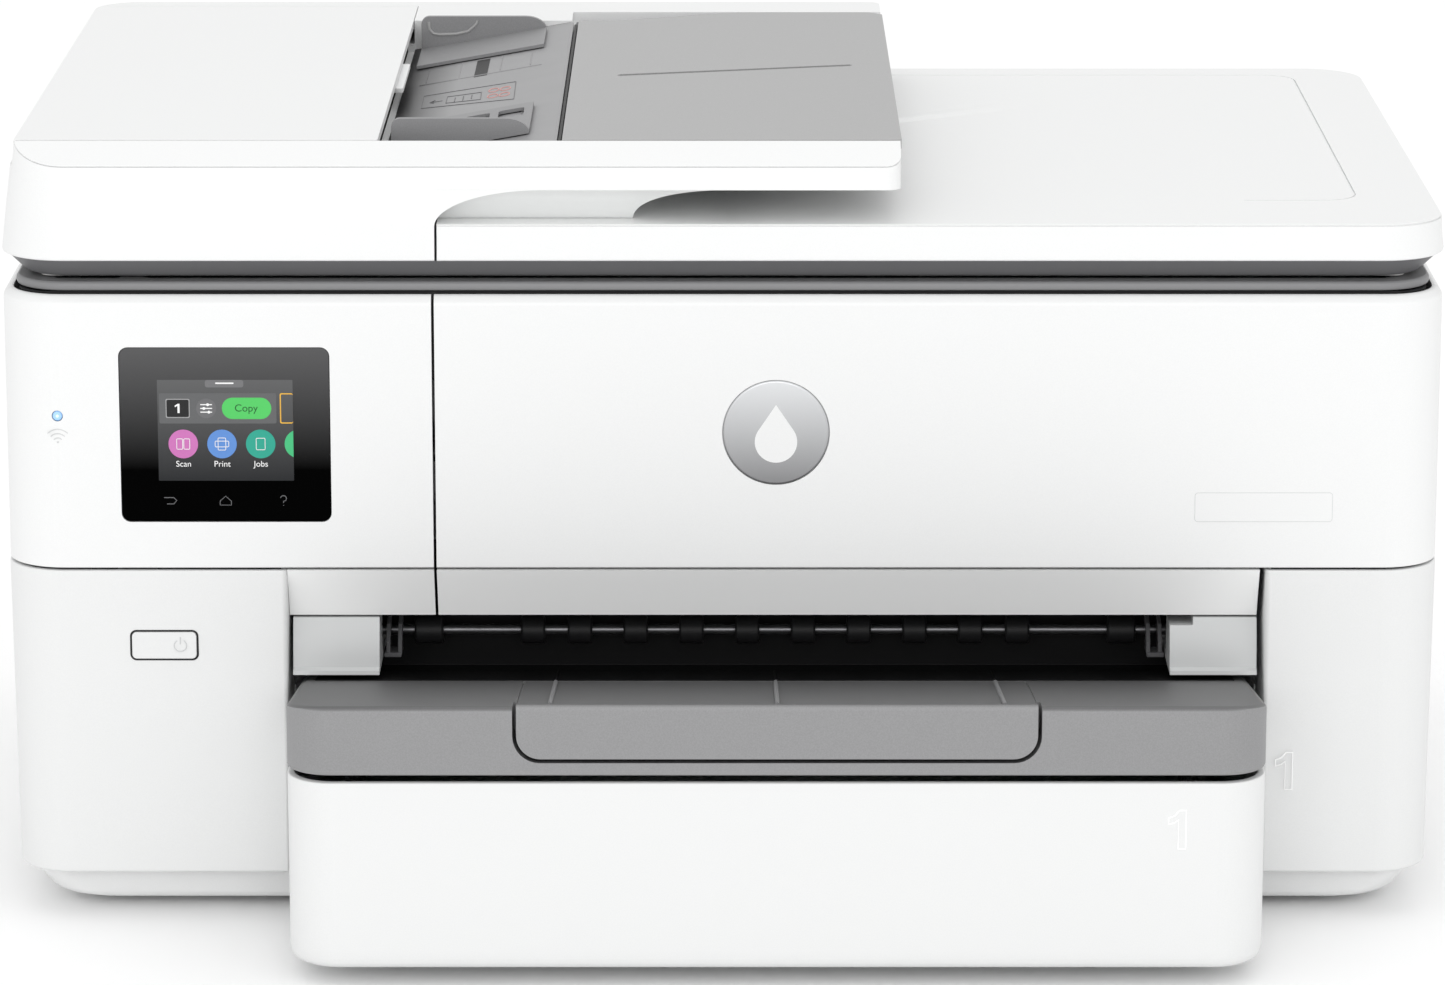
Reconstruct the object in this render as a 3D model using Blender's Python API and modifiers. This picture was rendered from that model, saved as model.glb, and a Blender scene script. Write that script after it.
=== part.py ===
"""Inkjet printer with a sheet feeder on its lid, a pull-out cassette and a drop-down ink door.

Metres, +Z up, +X to the right of someone who faces the front, +Y to the back. The origin is on
the floor, under the middle of the whole outline. A depth is measured from the body's front face
towards the back, so the trays, which stand out in front of it, have negative depths. Each box
is given by its three spans: across (X), in depth, and in height (Z).
"""
import math

import bmesh
import bpy
from mathutils import Matrix, Vector

# Driving dimensions
HALF_WIDTH = 0.2447
BODY_DEPTH = 0.3170
TRAY_REACH = 0.0800
BODY_FRONT = TRAY_REACH - (BODY_DEPTH + TRAY_REACH) / 2
GUIDE_TOP = 0.2720
WALL = 0.0025
FIT = 0.0003
CORNER = 0.0200
FAR = 0.0500

# Heights of the storeys, from the floor up
PAN = (0.0030, 0.0149)
LOWER = (0.0152, 0.1229)
UPPER = (0.1238, 0.2182)
FRAME = (0.2189, 0.2220)
LID_UNDERSIDE = (0.2233, 0.2282)
LID = (0.2285, 0.2425)
FEEDER = (0.2428, 0.2685)

# Front layout
LEFT_TOWER_EDGE = -0.1482
RIGHT_TOWER_EDGE = 0.1845
DOOR_SPLIT = (-0.0983, -0.0973)
DOOR_WALL = 0.0032
DOOR_WRAP = 0.0200
TRAY_SPAN = (-0.1445, 0.1800)
SLOT_SPAN = (-0.1175, 0.1530)
LIP_HEIGHT = (0.1047, 0.1230)
LIP_DEPTH = 0.0120

# Joint axes, as (depth, height) or (across, height)
LID_HINGE = (0.3140, 0.2265)
DOOR_HINGE = (0.0010, 0.1245)
REAR_DOOR_HINGE = (0.3160, 0.1315)
COVER_HINGE = (-0.2380, 0.2620)
PANEL_HINGE = (-0.0543, 0.2680)
OUTPUT_SHAFT = (0.0450, 0.0903)
FEED_SHAFT = (0.1500, 0.0903)
PICK_SHAFT = (0.2500, 0.0665)
CARRIAGE_ROD = (0.1480, 0.1300)
SCAN_ROD = (0.1585, 0.1950)

# Sheet feeder on the lid
FEEDER_SPAN = (-0.2393, 0.0604)
FEEDER_DEPTH = (0.0030, 0.3148)
FEEDER_BEVEL = (0.0130, 0.0063)
COVER_EDGE = -0.1162
FLOOR_LOW = 0.2572
FLOOR_END = -0.0558
ARM_BOTTOM = 0.2539
ARM_ROOT = -0.0966
ARM_ARC = (0.0360, 0.0111)
MOUTH_ROOT = -0.0303
MOUTH_ARC = (0.0310, 0.0111)
MOUTH_DEPTH = 0.0075

# Trays
TRAY_HEIGHT = (0.0734, 0.0952)
TRAY_CREST = (-0.0775, 0.0967)
TRAY_SEAT = (0.0000, 0.0840)
TRAY_BACK = (0.0350, 0.0785)
TRAY_CORNER = 0.0150
EXTENSION_SPAN = (-0.0680, 0.1037)
EXTENSION_BOTTOM = 0.0792
EXTENSION_THICK = 0.0025
HANDLE_DEPTH = 0.0150
CASSETTE_HEIGHT = (0.0062, 0.0710)
CASSETTE_BACK = 0.2850
CASSETTE_SIDE_TOP = 0.0500

# Output shaft rollers, about the middle of the paper path
PATH_MIDDLE = 0.0182
SMALL_PITCH = 0.0194
SMALL_OUTER = 0.0842
BIG_ROLLER = 0.1204
ROLLER_RADIUS = 0.0050

# Colour, roughness and metallic of each finish
FINISHES = {
    "white": ((0.86, 0.86, 0.85), 0.45, 0.0),
    "light_grey": ((0.62, 0.62, 0.63), 0.50, 0.0),
    "mid_grey": ((0.34, 0.35, 0.36), 0.50, 0.0),
    "dark_grey": ((0.09, 0.09, 0.10), 0.50, 0.0),
    "black": ((0.015, 0.015, 0.018), 0.35, 0.0),
    "rubber": ((0.03, 0.03, 0.03), 0.80, 0.0),
    "glass": ((0.55, 0.62, 0.62), 0.05, 0.0),
    "steel": ((0.60, 0.61, 0.62), 0.30, 1.0),
    "board": ((0.02, 0.16, 0.07), 0.50, 0.0),
    "blue_light": ((0.45, 0.75, 1.00), 0.30, 0.0),
    "cyan": ((0.00, 0.35, 0.60), 0.40, 0.0),
    "magenta": ((0.60, 0.02, 0.25), 0.40, 0.0),
    "yellow": ((0.80, 0.62, 0.02), 0.40, 0.0),
}


def clear_scene():
    for item in list(bpy.data.objects):
        bpy.data.objects.remove(item, do_unlink=True)


def new_collection(name):
    collection = bpy.data.collections.new(name)
    bpy.context.scene.collection.children.link(collection)
    return collection


def paint(item, finish):
    colour, roughness, metallic = FINISHES[finish]
    material = bpy.data.materials.new(f"{item.name}_{finish}")
    material.use_nodes = True
    shader = material.node_tree.nodes["Principled BSDF"]
    shader.inputs["Base Color"].default_value = (*colour, 1.0)
    shader.inputs["Roughness"].default_value = roughness
    shader.inputs["Metallic"].default_value = metallic
    item.data.materials.append(material)


def add_object(name, mesh, centre, finish=None):
    """Put a mesh at its centre, as a part when it has a finish and as a cutter when it has none."""
    item = bpy.data.objects.new(name, mesh)
    item.location = centre
    if finish:
        PARTS.objects.link(item)
        paint(item, finish)
    else:
        CUTTERS.objects.link(item)
        item.hide_render = True
        item.display_type = "WIRE"
    return item


def middle(spans):
    across, depth, height = spans
    return Vector((sum(across) / 2, BODY_FRONT + sum(depth) / 2, sum(height) / 2))


def box(name, across, depth, height, finish=None, corner=0.0, edges="Z", steps=3):
    """A block whose edges along one axis, Z unless told otherwise, are rounded."""
    size = [span[1] - span[0] for span in (across, depth, height)]
    shape = bmesh.new()
    bmesh.ops.create_cube(shape, size=1.0, matrix=Matrix.Diagonal((*size, 1.0)))
    if corner:
        axis = "XYZ".index(edges)
        chosen = []
        for edge in shape.edges:
            run = edge.verts[0].co - edge.verts[1].co
            if abs(run[axis]) > 0.99 * run.length:
                chosen.append(edge)
        bmesh.ops.bevel(shape, geom=chosen, offset=corner, segments=steps, profile=0.5,
                        affect="EDGES")
    mesh = bpy.data.meshes.new(name)
    shape.to_mesh(mesh)
    shape.free()
    return add_object(name, mesh, middle((across, depth, height)), finish)


def flare(item, across, depth):
    """Widen the top face of a block."""
    for vertex in item.data.vertices:
        if vertex.co.z > 0:
            vertex.co.x *= across
            vertex.co.y *= depth


def turn_to(axis):
    """Rotation that takes +Z to the given axis."""
    return {
        "X": Matrix.Rotation(math.radians(90), 4, "Y"),
        "Y": Matrix.Rotation(math.radians(-90), 4, "X"),
        "Z": Matrix.Identity(4),
    }[axis]


def rod(name, axis, across, depth, height, radius, finish=None, sides=16):
    """A cylinder along one axis; a span on that axis and single values on the other two."""
    spans = [value if isinstance(value, tuple) else (value, value)
             for value in (across, depth, height)]
    run = spans["XYZ".index(axis)]
    shape = bmesh.new()
    bmesh.ops.create_cone(shape, cap_ends=True, segments=sides, radius1=radius, radius2=radius,
                          depth=run[1] - run[0], matrix=turn_to(axis))
    mesh = bpy.data.meshes.new(name)
    shape.to_mesh(mesh)
    shape.free()
    item = add_object(name, mesh, middle(spans), finish)
    smooth(item)
    return item


def smooth(item):
    item.data.shade_smooth()
    item.data.set_sharp_from_angle(angle=math.radians(35))


def outline(name, points, axis, span, finish=None):
    """A flat outline given the thickness of its span along X or Y.

    Along X its points are (depth, height); along Y they are (across, height).
    """
    curve = bpy.data.curves.new(name, "CURVE")
    curve.dimensions = "2D"
    curve.fill_mode = "BOTH"
    curve.extrude = (span[1] - span[0]) / 2
    spline = curve.splines.new("POLY")
    spline.points.add(len(points) - 1)
    for point, place in zip(spline.points, points):
        point.co = (place[0], place[1], 0.0, 1.0)
    spline.use_cyclic_u = True
    holder = bpy.data.objects.new(name, curve)
    CUTTERS.objects.link(holder)
    evaluated = holder.evaluated_get(bpy.context.evaluated_depsgraph_get())
    mesh = bpy.data.meshes.new_from_object(evaluated)
    bpy.data.objects.remove(holder, do_unlink=True)

    reach = (span[0] + span[1]) / 2
    if axis == "X":
        frame = Matrix(((0, 0, 1, reach), (1, 0, 0, BODY_FRONT), (0, 1, 0, 0), (0, 0, 0, 1)))
    else:
        frame = Matrix(((1, 0, 0, 0), (0, 0, -1, BODY_FRONT + reach), (0, 1, 0, 0), (0, 0, 0, 1)))
    mesh.transform(frame)
    centre = sum((vertex.co for vertex in mesh.vertices), Vector()) / len(mesh.vertices)
    mesh.transform(Matrix.Translation(-centre))
    shape = bmesh.new()
    shape.from_mesh(mesh)
    bmesh.ops.remove_doubles(shape, verts=shape.verts, dist=0.00001)
    bmesh.ops.recalc_face_normals(shape, faces=shape.faces)
    shape.to_mesh(mesh)
    shape.free()
    return add_object(name, mesh, centre, finish)


def turned(name, axis, place, profile, finish, sides=10):
    """A turned piece along X or Y from (position, radius) points in rising order.

    `place` is where its axis runs: (depth, height) along X, (across, height) along Y.
    """
    start, end = profile[0][0], profile[-1][0]
    centre = (start + end) / 2
    points = [(0.0, 0.0, end - centre)]
    points += [(radius, 0.0, position - centre) for position, radius in reversed(profile)]
    points.append((0.0, 0.0, start - centre))
    mesh = bpy.data.meshes.new(name)
    mesh.from_pydata(points, [(i, i + 1) for i in range(len(points) - 1)], [])
    if axis == "X":
        spot = Vector((centre, BODY_FRONT + place[0], place[1]))
    else:
        spot = Vector((place[0], BODY_FRONT + centre, place[1]))
    item = add_object(name, mesh, spot, finish)
    item.rotation_euler = turn_to(axis).to_euler()
    screw = item.modifiers.new("turn", "SCREW")
    screw.axis = "Z"
    screw.steps = sides
    screw.render_steps = sides
    screw.use_merge_vertices = True
    screw.merge_threshold = 0.00001
    return item


def combine(item, tool, operation):
    change = item.modifiers.new(tool.name, "BOOLEAN")
    change.operation = operation
    change.solver = "EXACT"
    change.object = tool


def cut(item, *tools):
    for tool in tools:
        combine(item, tool, "DIFFERENCE")


def join(item, *tools):
    for tool in tools:
        combine(item, tool, "UNION")


def keep(item, tool):
    combine(item, tool, "INTERSECT")


def pivot(name, across, depth, height):
    """An empty on a joint's axis, for the pieces that move on it."""
    empty = bpy.data.objects.new(name, None)
    empty.location = (across, BODY_FRONT + depth, height)
    PARTS.objects.link(empty)
    return empty


def hang(parent, *items):
    """Parent pieces without moving them."""
    for item in items:
        item.parent = parent
        item.matrix_parent_inverse = Matrix.Translation(-parent.location)


def grow(span, amount):
    return (span[0] - amount, span[1] + amount)


# Base and lower housing

def make_base():
    across = (-0.2300, 0.2300)
    depth = (0.0105, 0.3065)
    floor = PAN[0] + 0.0022
    pan = box("base_pan", across, depth, PAN, "light_grey", corner=0.014)
    flare(pan, 0.2390 / across[1], 0.1495 / 0.1480)
    bay = grow(TRAY_SPAN, 0.0030)
    above = (floor, PAN[1] + FAR)
    cut(pan,
        box("pan_bay", bay, (-FAR, 0.2910), above),
        box("pan_left", (across[0] + WALL, bay[0] - WALL), grow(depth, -WALL), above),
        box("pan_right", (bay[1] + WALL, across[1] - WALL), grow(depth, -WALL), above))
    for index, (x, y) in enumerate(((-0.205, 0.035), (0.205, 0.035), (-0.205, 0.280),
                                    (0.205, 0.280)), start=1):
        rod(f"foot_{index}", "Z", x, y, (0.0, PAN[0] - FIT), 0.0085, "rubber")


POWER_BUTTON = ((-0.2015, -0.1795), (0.0919, 0.1013))
INLET = ((-0.2150, -0.1870), (0.0300, 0.0500))
DATA_PORTS = ((0.1950, 0.2250), (0.0300, 0.0480))


def make_lower_housing():
    depth = (0.0, BODY_DEPTH)
    across = (-HALF_WIDTH + 0.0002, HALF_WIDTH - 0.0002)
    through = (LOWER[0] - FAR, LOWER[1] + FAR)
    inside = (WALL, BODY_DEPTH - WALL)
    housing = box("lower_housing", across, depth, LOWER, "white", corner=CORNER, steps=4)
    cut(housing,
        box("bay", (LEFT_TOWER_EDGE, RIGHT_TOWER_EDGE), (-FAR, inside[1]), through),
        box("left_tower", (across[0] + WALL, LEFT_TOWER_EDGE - WALL), inside, through,
            corner=CORNER - WALL),
        box("right_tower", (RIGHT_TOWER_EDGE + WALL, across[1] - WALL), inside, through,
            corner=CORNER - WALL),
        box("mechanism_room", (-0.2150, 0.2365), (0.0360, 0.2050), (0.0735, 0.1730)),
        box("button_hole", grow(POWER_BUTTON[0], FIT), (-0.010, 0.010),
            grow(POWER_BUTTON[1], FIT)),
        box("inlet_hole", grow(INLET[0], FIT), (0.300, 0.350), grow(INLET[1], FIT)),
        box("data_hole", grow(DATA_PORTS[0], FIT), (0.300, 0.350), grow(DATA_PORTS[1], FIT)))

    button = box("power_button", POWER_BUTTON[0], (-0.0006, 0.0060), POWER_BUTTON[1],
                 "light_grey", corner=0.001, edges="Y", steps=2)
    hang(pivot("power_button_slide", -0.1905, 0.0, 0.0966), button)

    inlet = box("power_inlet", INLET[0], (0.3000, BODY_DEPTH - 0.0004), INLET[1], "black")
    for x in (-0.2050, -0.1970):
        cut(inlet, rod("inlet_bore", "Y", x, (0.3060, 0.3500), 0.0400, 0.0042, sides=12))
    ports = box("data_ports", DATA_PORTS[0], (0.3000, BODY_DEPTH - 0.0004), DATA_PORTS[1],
                "dark_grey")
    cut(ports,
        box("usb_mouth", (0.1980, 0.2070), (0.3060, 0.3500), (0.0345, 0.0435)),
        box("lan_mouth", (0.2100, 0.2220), (0.3060, 0.3500), (0.0335, 0.0445)))

    box("main_board", (0.2380, 0.2396), (0.0600, 0.2900), (0.0200, 0.0720), "board")
    box("power_supply", (-0.2380, -0.1560), (0.2150, 0.2900), (0.0180, 0.0700), "steel")


def make_exit_blocks():
    """Side cheeks of the paper exit, each with a bore for the output shaft."""
    for side, across in (("left", (-0.1470, SLOT_SPAN[0])), ("right", (SLOT_SPAN[1], 0.1827))):
        block = box(f"exit_block_{side}", across, (0.0040, 0.0560), (0.0850, 0.1040),
                    "light_grey")
        cut(block, rod("shaft_bore", "X", grow(across, 0.01), *OUTPUT_SHAFT, 0.0030, sides=12))


def lip(name, across, finish):
    """The slanted canopy over the paper exit."""
    bottom, top = LIP_HEIGHT
    return outline(name, [(0.0, top), (LIP_DEPTH, bottom), (LIP_DEPTH + 0.0020, bottom),
                          (0.0026, top)], "X", across, finish)


# Upper housing and ink door

BEZEL = ((-0.2038, -0.1329), (0.1401, 0.2004))
DISPLAY = ((-0.1945, -0.1422), (0.1515, 0.1925))
STATUS_LED = (-0.2250, 0.1768)
BADGE = (0.0180, 0.1711, 0.0180)
NAMEPLATE = ((0.1602, 0.2068), (0.1401, 0.1501))
REAR_OPENING = ((-0.1300, 0.1650), (0.1297, 0.1800))


def upper_shell(name):
    """The whole upper storey as a tube, from which the housing and the door are each kept."""
    across = (-HALF_WIDTH + 0.0004, HALF_WIDTH - 0.0004)
    shell = box(name, across, (0.0, BODY_DEPTH), UPPER, "white", corner=CORNER, steps=4)
    cut(shell, box(f"{name}_room", grow(across, -DOOR_WALL),
                   (DOOR_WALL, BODY_DEPTH - DOOR_WALL), grow(UPPER, FAR),
                   corner=CORNER - DOOR_WALL, steps=4))
    return shell


def make_upper_housing():
    housing = upper_shell("upper_housing")
    cut(housing,
        box("door_room", (DOOR_SPLIT[0], HALF_WIDTH + FAR), (-FAR, DOOR_WRAP + FIT),
            grow(UPPER, FAR)),
        box("bezel_hole", grow(BEZEL[0], FIT), (-0.010, 0.010), grow(BEZEL[1], FIT)),
        rod("led_hole", "Y", STATUS_LED[0], (-0.010, 0.010), STATUS_LED[1], 0.0020, sides=12),
        box("rear_opening", REAR_OPENING[0], (0.300, 0.350), REAR_OPENING[1]))
    lip("canopy_lip", (-0.1475, -0.0985), "light_grey")

    bezel = box("screen_bezel", BEZEL[0], (0.0002, 0.0056), BEZEL[1], "black", corner=0.003,
                edges="Y")
    cut(bezel, box("display_room", grow(DISPLAY[0], FIT), (-0.010, 0.0032),
                   grow(DISPLAY[1], FIT)))
    box("touch_display", DISPLAY[0], (0.0004, 0.0029), DISPLAY[1], "black")
    rod("status_light", "Y", STATUS_LED[0], (0.0, 0.0060), STATUS_LED[1], 0.0017, "blue_light")

    door = box("rear_door", grow(REAR_OPENING[0], -FIT), (0.3142, 0.3168),
               (0.1303, REAR_OPENING[1][1] - FIT), "light_grey")
    hang(pivot("rear_door_hinge", 0.0, *REAR_DOOR_HINGE), door)


def make_ink_door():
    hinge = pivot("ink_door_hinge", 0.0, *DOOR_HINGE)
    door = upper_shell("ink_door")
    keep(door, box("door_reach", (DOOR_SPLIT[1], HALF_WIDTH + FAR), (-FAR, DOOR_WRAP),
                   grow(UPPER, FAR)))
    x, z, radius = BADGE
    cut(door,
        rod("badge_room", "Y", x, (-0.010, 0.0012), z, radius + FIT, sides=32),
        box("nameplate_room", grow(NAMEPLATE[0], FIT), (-0.010, 0.0012),
            grow(NAMEPLATE[1], FIT)))
    badge = rod("badge", "Y", x, (-0.0003, 0.0009), z, radius, "steel", sides=32)
    plate = box("nameplate", NAMEPLATE[0], (0.0, 0.0009), NAMEPLATE[1], "light_grey",
                corner=0.0015, edges="Y", steps=2)
    door_lip = lip("ink_door_lip", (-0.0970, 0.1825), "light_grey")
    hang(hinge, door, badge, plate, door_lip)


# Scanner

def make_scanner():
    frame_depth = (0.0050, 0.3120)
    glass_depth = (0.0120, 0.3030)
    frame = box("scanner_frame", (-0.2400, 0.2400), frame_depth, FRAME, "mid_grey",
                corner=0.016)
    cut(frame,
        box("platen_opening", (-0.1960, 0.2260), glass_depth, grow(FRAME, FAR)),
        box("strip_opening", (-0.2260, -0.2040), glass_depth, grow(FRAME, FAR)))
    glass_height = (0.2158, FRAME[0] - FIT)
    glass_back = grow(glass_depth, 0.0030)
    box("scanner_glass", (-0.1990, 0.2290), glass_back, glass_height, "glass")
    box("feeder_scan_glass", (-0.2290, -0.2010), glass_back, glass_height, "glass")

    tub_height = (0.1880, FRAME[0] - FIT)
    tub = box("scanner_tub", (-0.2385, 0.2385), (0.0060, 0.3110), tub_height, "dark_grey",
              corner=0.010)
    cut(tub, box("tub_room", (-0.2365, 0.2365), (0.0080, 0.3090), (0.1900, 0.2400),
                 corner=0.008))
    rod("scan_rod", "X", (-0.2355, 0.2355), *SCAN_ROD, 0.0030, "steel", sides=12)
    bar = box("scan_bar", (-0.2340, -0.2140), (0.0130, 0.3040), (0.1992, 0.2140), "black")
    hang(pivot("scan_bar_slide", -0.2240, *SCAN_ROD), bar)


# Lid and sheet feeder

KNUCKLE_RADIUS = 0.0022
KNUCKLE_SPANS = ((-0.1850, -0.1550), (0.1550, 0.1850))


def make_lid(hinge):
    shell = box("lid_shell", (-HALF_WIDTH, HALF_WIDTH), (0.0010, 0.3140), LID, "white",
                corner=0.022, steps=4)
    cut(shell, box("lid_room", grow((-HALF_WIDTH, HALF_WIDTH), -WALL), (0.0035, 0.3115),
                   (LID[0] - FAR, LID[1] - WALL), corner=0.0195, steps=4))
    underside = box("lid_underside", (-0.2377, 0.2377), (0.0080, 0.3080), LID_UNDERSIDE,
                    "mid_grey", corner=0.016)
    flare(underside, 0.2440 / 0.2377, 0.1560 / 0.1500)
    cut(underside, box("mat_room", (-0.2320, 0.2320), (0.0115, 0.3035),
                       (LID_UNDERSIDE[0] - FAR, 0.2262)))
    mat = box("lid_mat", (-0.2315, 0.2315), (0.0120, 0.3030), (0.2224, 0.2259), "white")
    for side, span in zip(("left", "right"), KNUCKLE_SPANS):
        notch = grow(span, 0.005)
        cut(shell, box("knuckle_notch", notch, (0.3050, 0.3300), (0.2100, 0.2320)))
        cut(underside, box("knuckle_clearance", notch, (0.3085, 0.3300), (0.2100, 0.2400)))
        knuckle = rod(f"lid_hinge_{side}", "X", span, *LID_HINGE, KNUCKLE_RADIUS, "dark_grey",
                      sides=12)
        join(knuckle, box("hinge_leaf", grow(span, -0.002), (0.3127, 0.3153),
                          (UPPER[1] + FIT, LID_HINGE[1])))
    hang(hinge, shell, underside, mat)


def arm_outline(root, size):
    """Section of the room under the feeder's arm, with its quarter-ellipse root."""
    reach, rise = size
    arc = []
    for step in range(7):
        angle = math.radians(90 * step / 6)
        arc.append((root + reach * (1 - math.cos(angle)),
                    ARM_BOTTOM - rise + rise * math.sin(angle)))
    return [(root, FEEDER[0] - 0.01)] + arc + [(0.0800, ARM_BOTTOM), (0.0800, 0.2320)]


def make_feeder(hinge):
    front, back = FEEDER_DEPTH
    bevel_depth, bevel_drop = FEEDER_BEVEL
    low, top = FEEDER
    rim = (front + bevel_depth + FIT, 0.3017)
    base = outline("feeder_base", [
        (front, low), (front, top - bevel_drop), (front + bevel_depth, top),
        (back - bevel_depth, top), (back, top - bevel_drop), (back, low)],
        "X", FEEDER_SPAN, "white")
    keep(base, box("feeder_plan", (FEEDER_SPAN[0], FEEDER_SPAN[1] + FAR), FEEDER_DEPTH,
                   grow(FEEDER, FAR), corner=0.018, steps=4))
    cut(base,
        outline("arm_room", arm_outline(ARM_ROOT, ARM_ARC), "Y", (-FAR, MOUTH_DEPTH)),
        outline("mouth_room", arm_outline(MOUTH_ROOT, MOUTH_ARC), "Y", (0.0, 0.2900)),
        outline("floor_room", [(COVER_EDGE, FLOOR_LOW), (FLOOR_END, 0.2680),
                               (FLOOR_END, 0.3000), (COVER_EDGE, 0.3000)], "Y", rim),
        box("panel_room", (FLOOR_END, FEEDER_SPAN[1] + FAR), (rim[0], 0.2873),
            (0.2648, 0.3000)),
        box("cover_room", (-FAR * 6, COVER_EDGE), rim, (0.2598, 0.3000)),
        box("roller_room", (-0.2365, -0.1185), grow(rim, -0.0025), (0.2450, 0.3000)))

    cover = box("feeder_cover", (FEEDER_SPAN[0], COVER_EDGE - FIT), grow(rim, -FIT),
                (0.2606, top), "white")
    cut(cover, box("cover_inside", (FEEDER_SPAN[0] + 0.002, COVER_EDGE + FAR),
                   grow(rim, -FIT - 0.002), (0.2000, top - 0.002)))
    cover_hinge = pivot("feeder_cover_hinge", COVER_HINGE[0], sum(rim) / 2, COVER_HINGE[1])
    panel = box("feeder_panel", (PANEL_HINGE[0], FEEDER_SPAN[1]), (rim[0] + FIT, 0.2870),
                (0.2651, top), "mid_grey")
    panel_hinge = pivot("feeder_panel_hinge", PANEL_HINGE[0], 0.1500, PANEL_HINGE[1])
    hang(hinge, base, cover_hinge, panel_hinge)
    hang(cover_hinge, cover)
    hang(panel_hinge, panel)
    make_guides(hinge)

    ends = ((0.1000, 0.1200, 0.1800, 0.2000), (0.0700, 0.0900, 0.2100, 0.2300))
    for name, x, radius, stops in (("feeder_pick_roller", -0.1300, 0.0065, ends[0]),
                                   ("feeder_drive_roller", -0.1650, 0.0080, ends[1])):
        profile = [(stops[0], 0.002), (stops[1], 0.002), (stops[1], radius),
                   (stops[2], radius), (stops[2], 0.002), (stops[3], 0.002)]
        roller = turned(name, "Y", (x, 0.2545), profile, "rubber", sides=14)
        spin = pivot(f"{name}_axis", x, sum(stops[:: 3]) / 2, 0.2545)
        hang(hinge, spin)
        hang(spin, roller)


def make_guides(hinge):
    """Two paper guides that stand on the sloping floor and close towards each other."""
    left, right = -0.1130, -0.0660
    slope = (0.2680 - FLOOR_LOW) / (FLOOR_END - COVER_EDGE)
    lift = 0.0006

    def floor_at(x):
        return FLOOR_LOW + slope * (x - COVER_EDGE) + lift

    plate = [(left, floor_at(left)), (right, floor_at(right)), (right, GUIDE_TOP),
             (left, GUIDE_TOP)]
    foot = [(left, floor_at(left)), (right, floor_at(right)), (right, floor_at(right) + 0.0012),
            (left, floor_at(left) + 0.0012)]
    for side, stand, reach in (("front", (0.0380, 0.0405), (0.0390, 0.0600)),
                               ("rear", (0.2550, 0.2575), (0.2160, 0.2565))):
        guide = outline(f"feeder_guide_{side}", plate, "Y", stand, "mid_grey")
        join(guide, outline("guide_foot", foot, "Y", reach))
        slide = pivot(f"feeder_guide_{side}_slide", (left + right) / 2, sum(stand) / 2,
                      floor_at(left))
        hang(hinge, slide)
        hang(slide, guide)


# Trays

def slope_height(depth):
    """Height of the output tray's sloping top."""
    run = TRAY_SEAT[0] - TRAY_CREST[0]
    return TRAY_CREST[1] + (TRAY_SEAT[1] - TRAY_CREST[1]) * (depth - TRAY_CREST[0]) / run


def make_output_tray():
    front = -TRAY_REACH
    bottom, brow = TRAY_HEIGHT
    tray = outline("output_tray", [(front, bottom), (front, brow), TRAY_CREST, TRAY_SEAT,
                                   TRAY_BACK, (TRAY_BACK[0], bottom)],
                   "X", TRAY_SPAN, "mid_grey")
    keep(tray, box("tray_plan", TRAY_SPAN, (front, BODY_DEPTH), (0.0, 0.2),
                   corner=TRAY_CORNER, steps=4))
    handle_back = front + HANDLE_DEPTH
    inner = (front - 0.01, slope_height(front - 0.01) + FAR)
    seat = (TRAY_SEAT[0] + FIT, slope_height(TRAY_SEAT[0]) + FAR)
    gap = EXTENSION_THICK + FIT
    cut(tray, outline("extension_room", [
        (front - 0.01, EXTENSION_BOTTOM - FIT), inner, seat,
        (seat[0], slope_height(seat[0]) - gap),
        (handle_back + FIT, slope_height(handle_back) - gap),
        (handle_back + FIT, EXTENSION_BOTTOM - FIT)], "X", grow(EXTENSION_SPAN, 0.0008)))

    extension = outline("tray_extension", [
        (front, EXTENSION_BOTTOM), (front, brow), TRAY_CREST, TRAY_SEAT,
        (TRAY_SEAT[0], TRAY_SEAT[1] - EXTENSION_THICK),
        (handle_back, slope_height(handle_back) - EXTENSION_THICK),
        (handle_back, EXTENSION_BOTTOM)], "X", EXTENSION_SPAN, "mid_grey")
    hang(pivot("tray_extension_slide", sum(EXTENSION_SPAN) / 2, front, brow), extension)


def make_cassette():
    front = -TRAY_REACH
    low, top = CASSETTE_HEIGHT
    floor = low + 0.0023
    slide = pivot("cassette_slide", PATH_MIDDLE, front, low)
    cassette = box("cassette", TRAY_SPAN, (front, CASSETTE_BACK), CASSETTE_HEIGHT, "white",
                   corner=0.0160, steps=4)
    cut(cassette,
        box("cassette_room", grow(TRAY_SPAN, -WALL), (front + 0.003, CASSETTE_BACK - WALL),
            (floor, top + FAR), corner=0.0135, steps=4),
        box("cassette_low_sides", grow(TRAY_SPAN, 0.01), (0.0500, CASSETTE_BACK + 0.01),
            (CASSETTE_SIDE_TOP, top + FAR)))
    hang(slide, cassette)
    stand = (floor + FIT, 0.0450)
    for side, across in (("left", (-0.1335, -0.1310)), ("right", (0.1670, 0.1695))):
        guide = box(f"cassette_guide_{side}", across, (0.0600, 0.1600), stand, "light_grey")
        guide_slide = pivot(f"cassette_guide_{side}_slide", sum(across) / 2, 0.11, floor)
        hang(slide, guide_slide)
        hang(guide_slide, guide)
    stop = box("cassette_length_guide", (0.0000, 0.0360), (-0.0650, -0.0625), stand,
               "light_grey")
    stop_slide = pivot("cassette_length_guide_slide", PATH_MIDDLE, -0.0640, floor)
    hang(slide, stop_slide)
    hang(stop_slide, stop)


# Print engine

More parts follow.
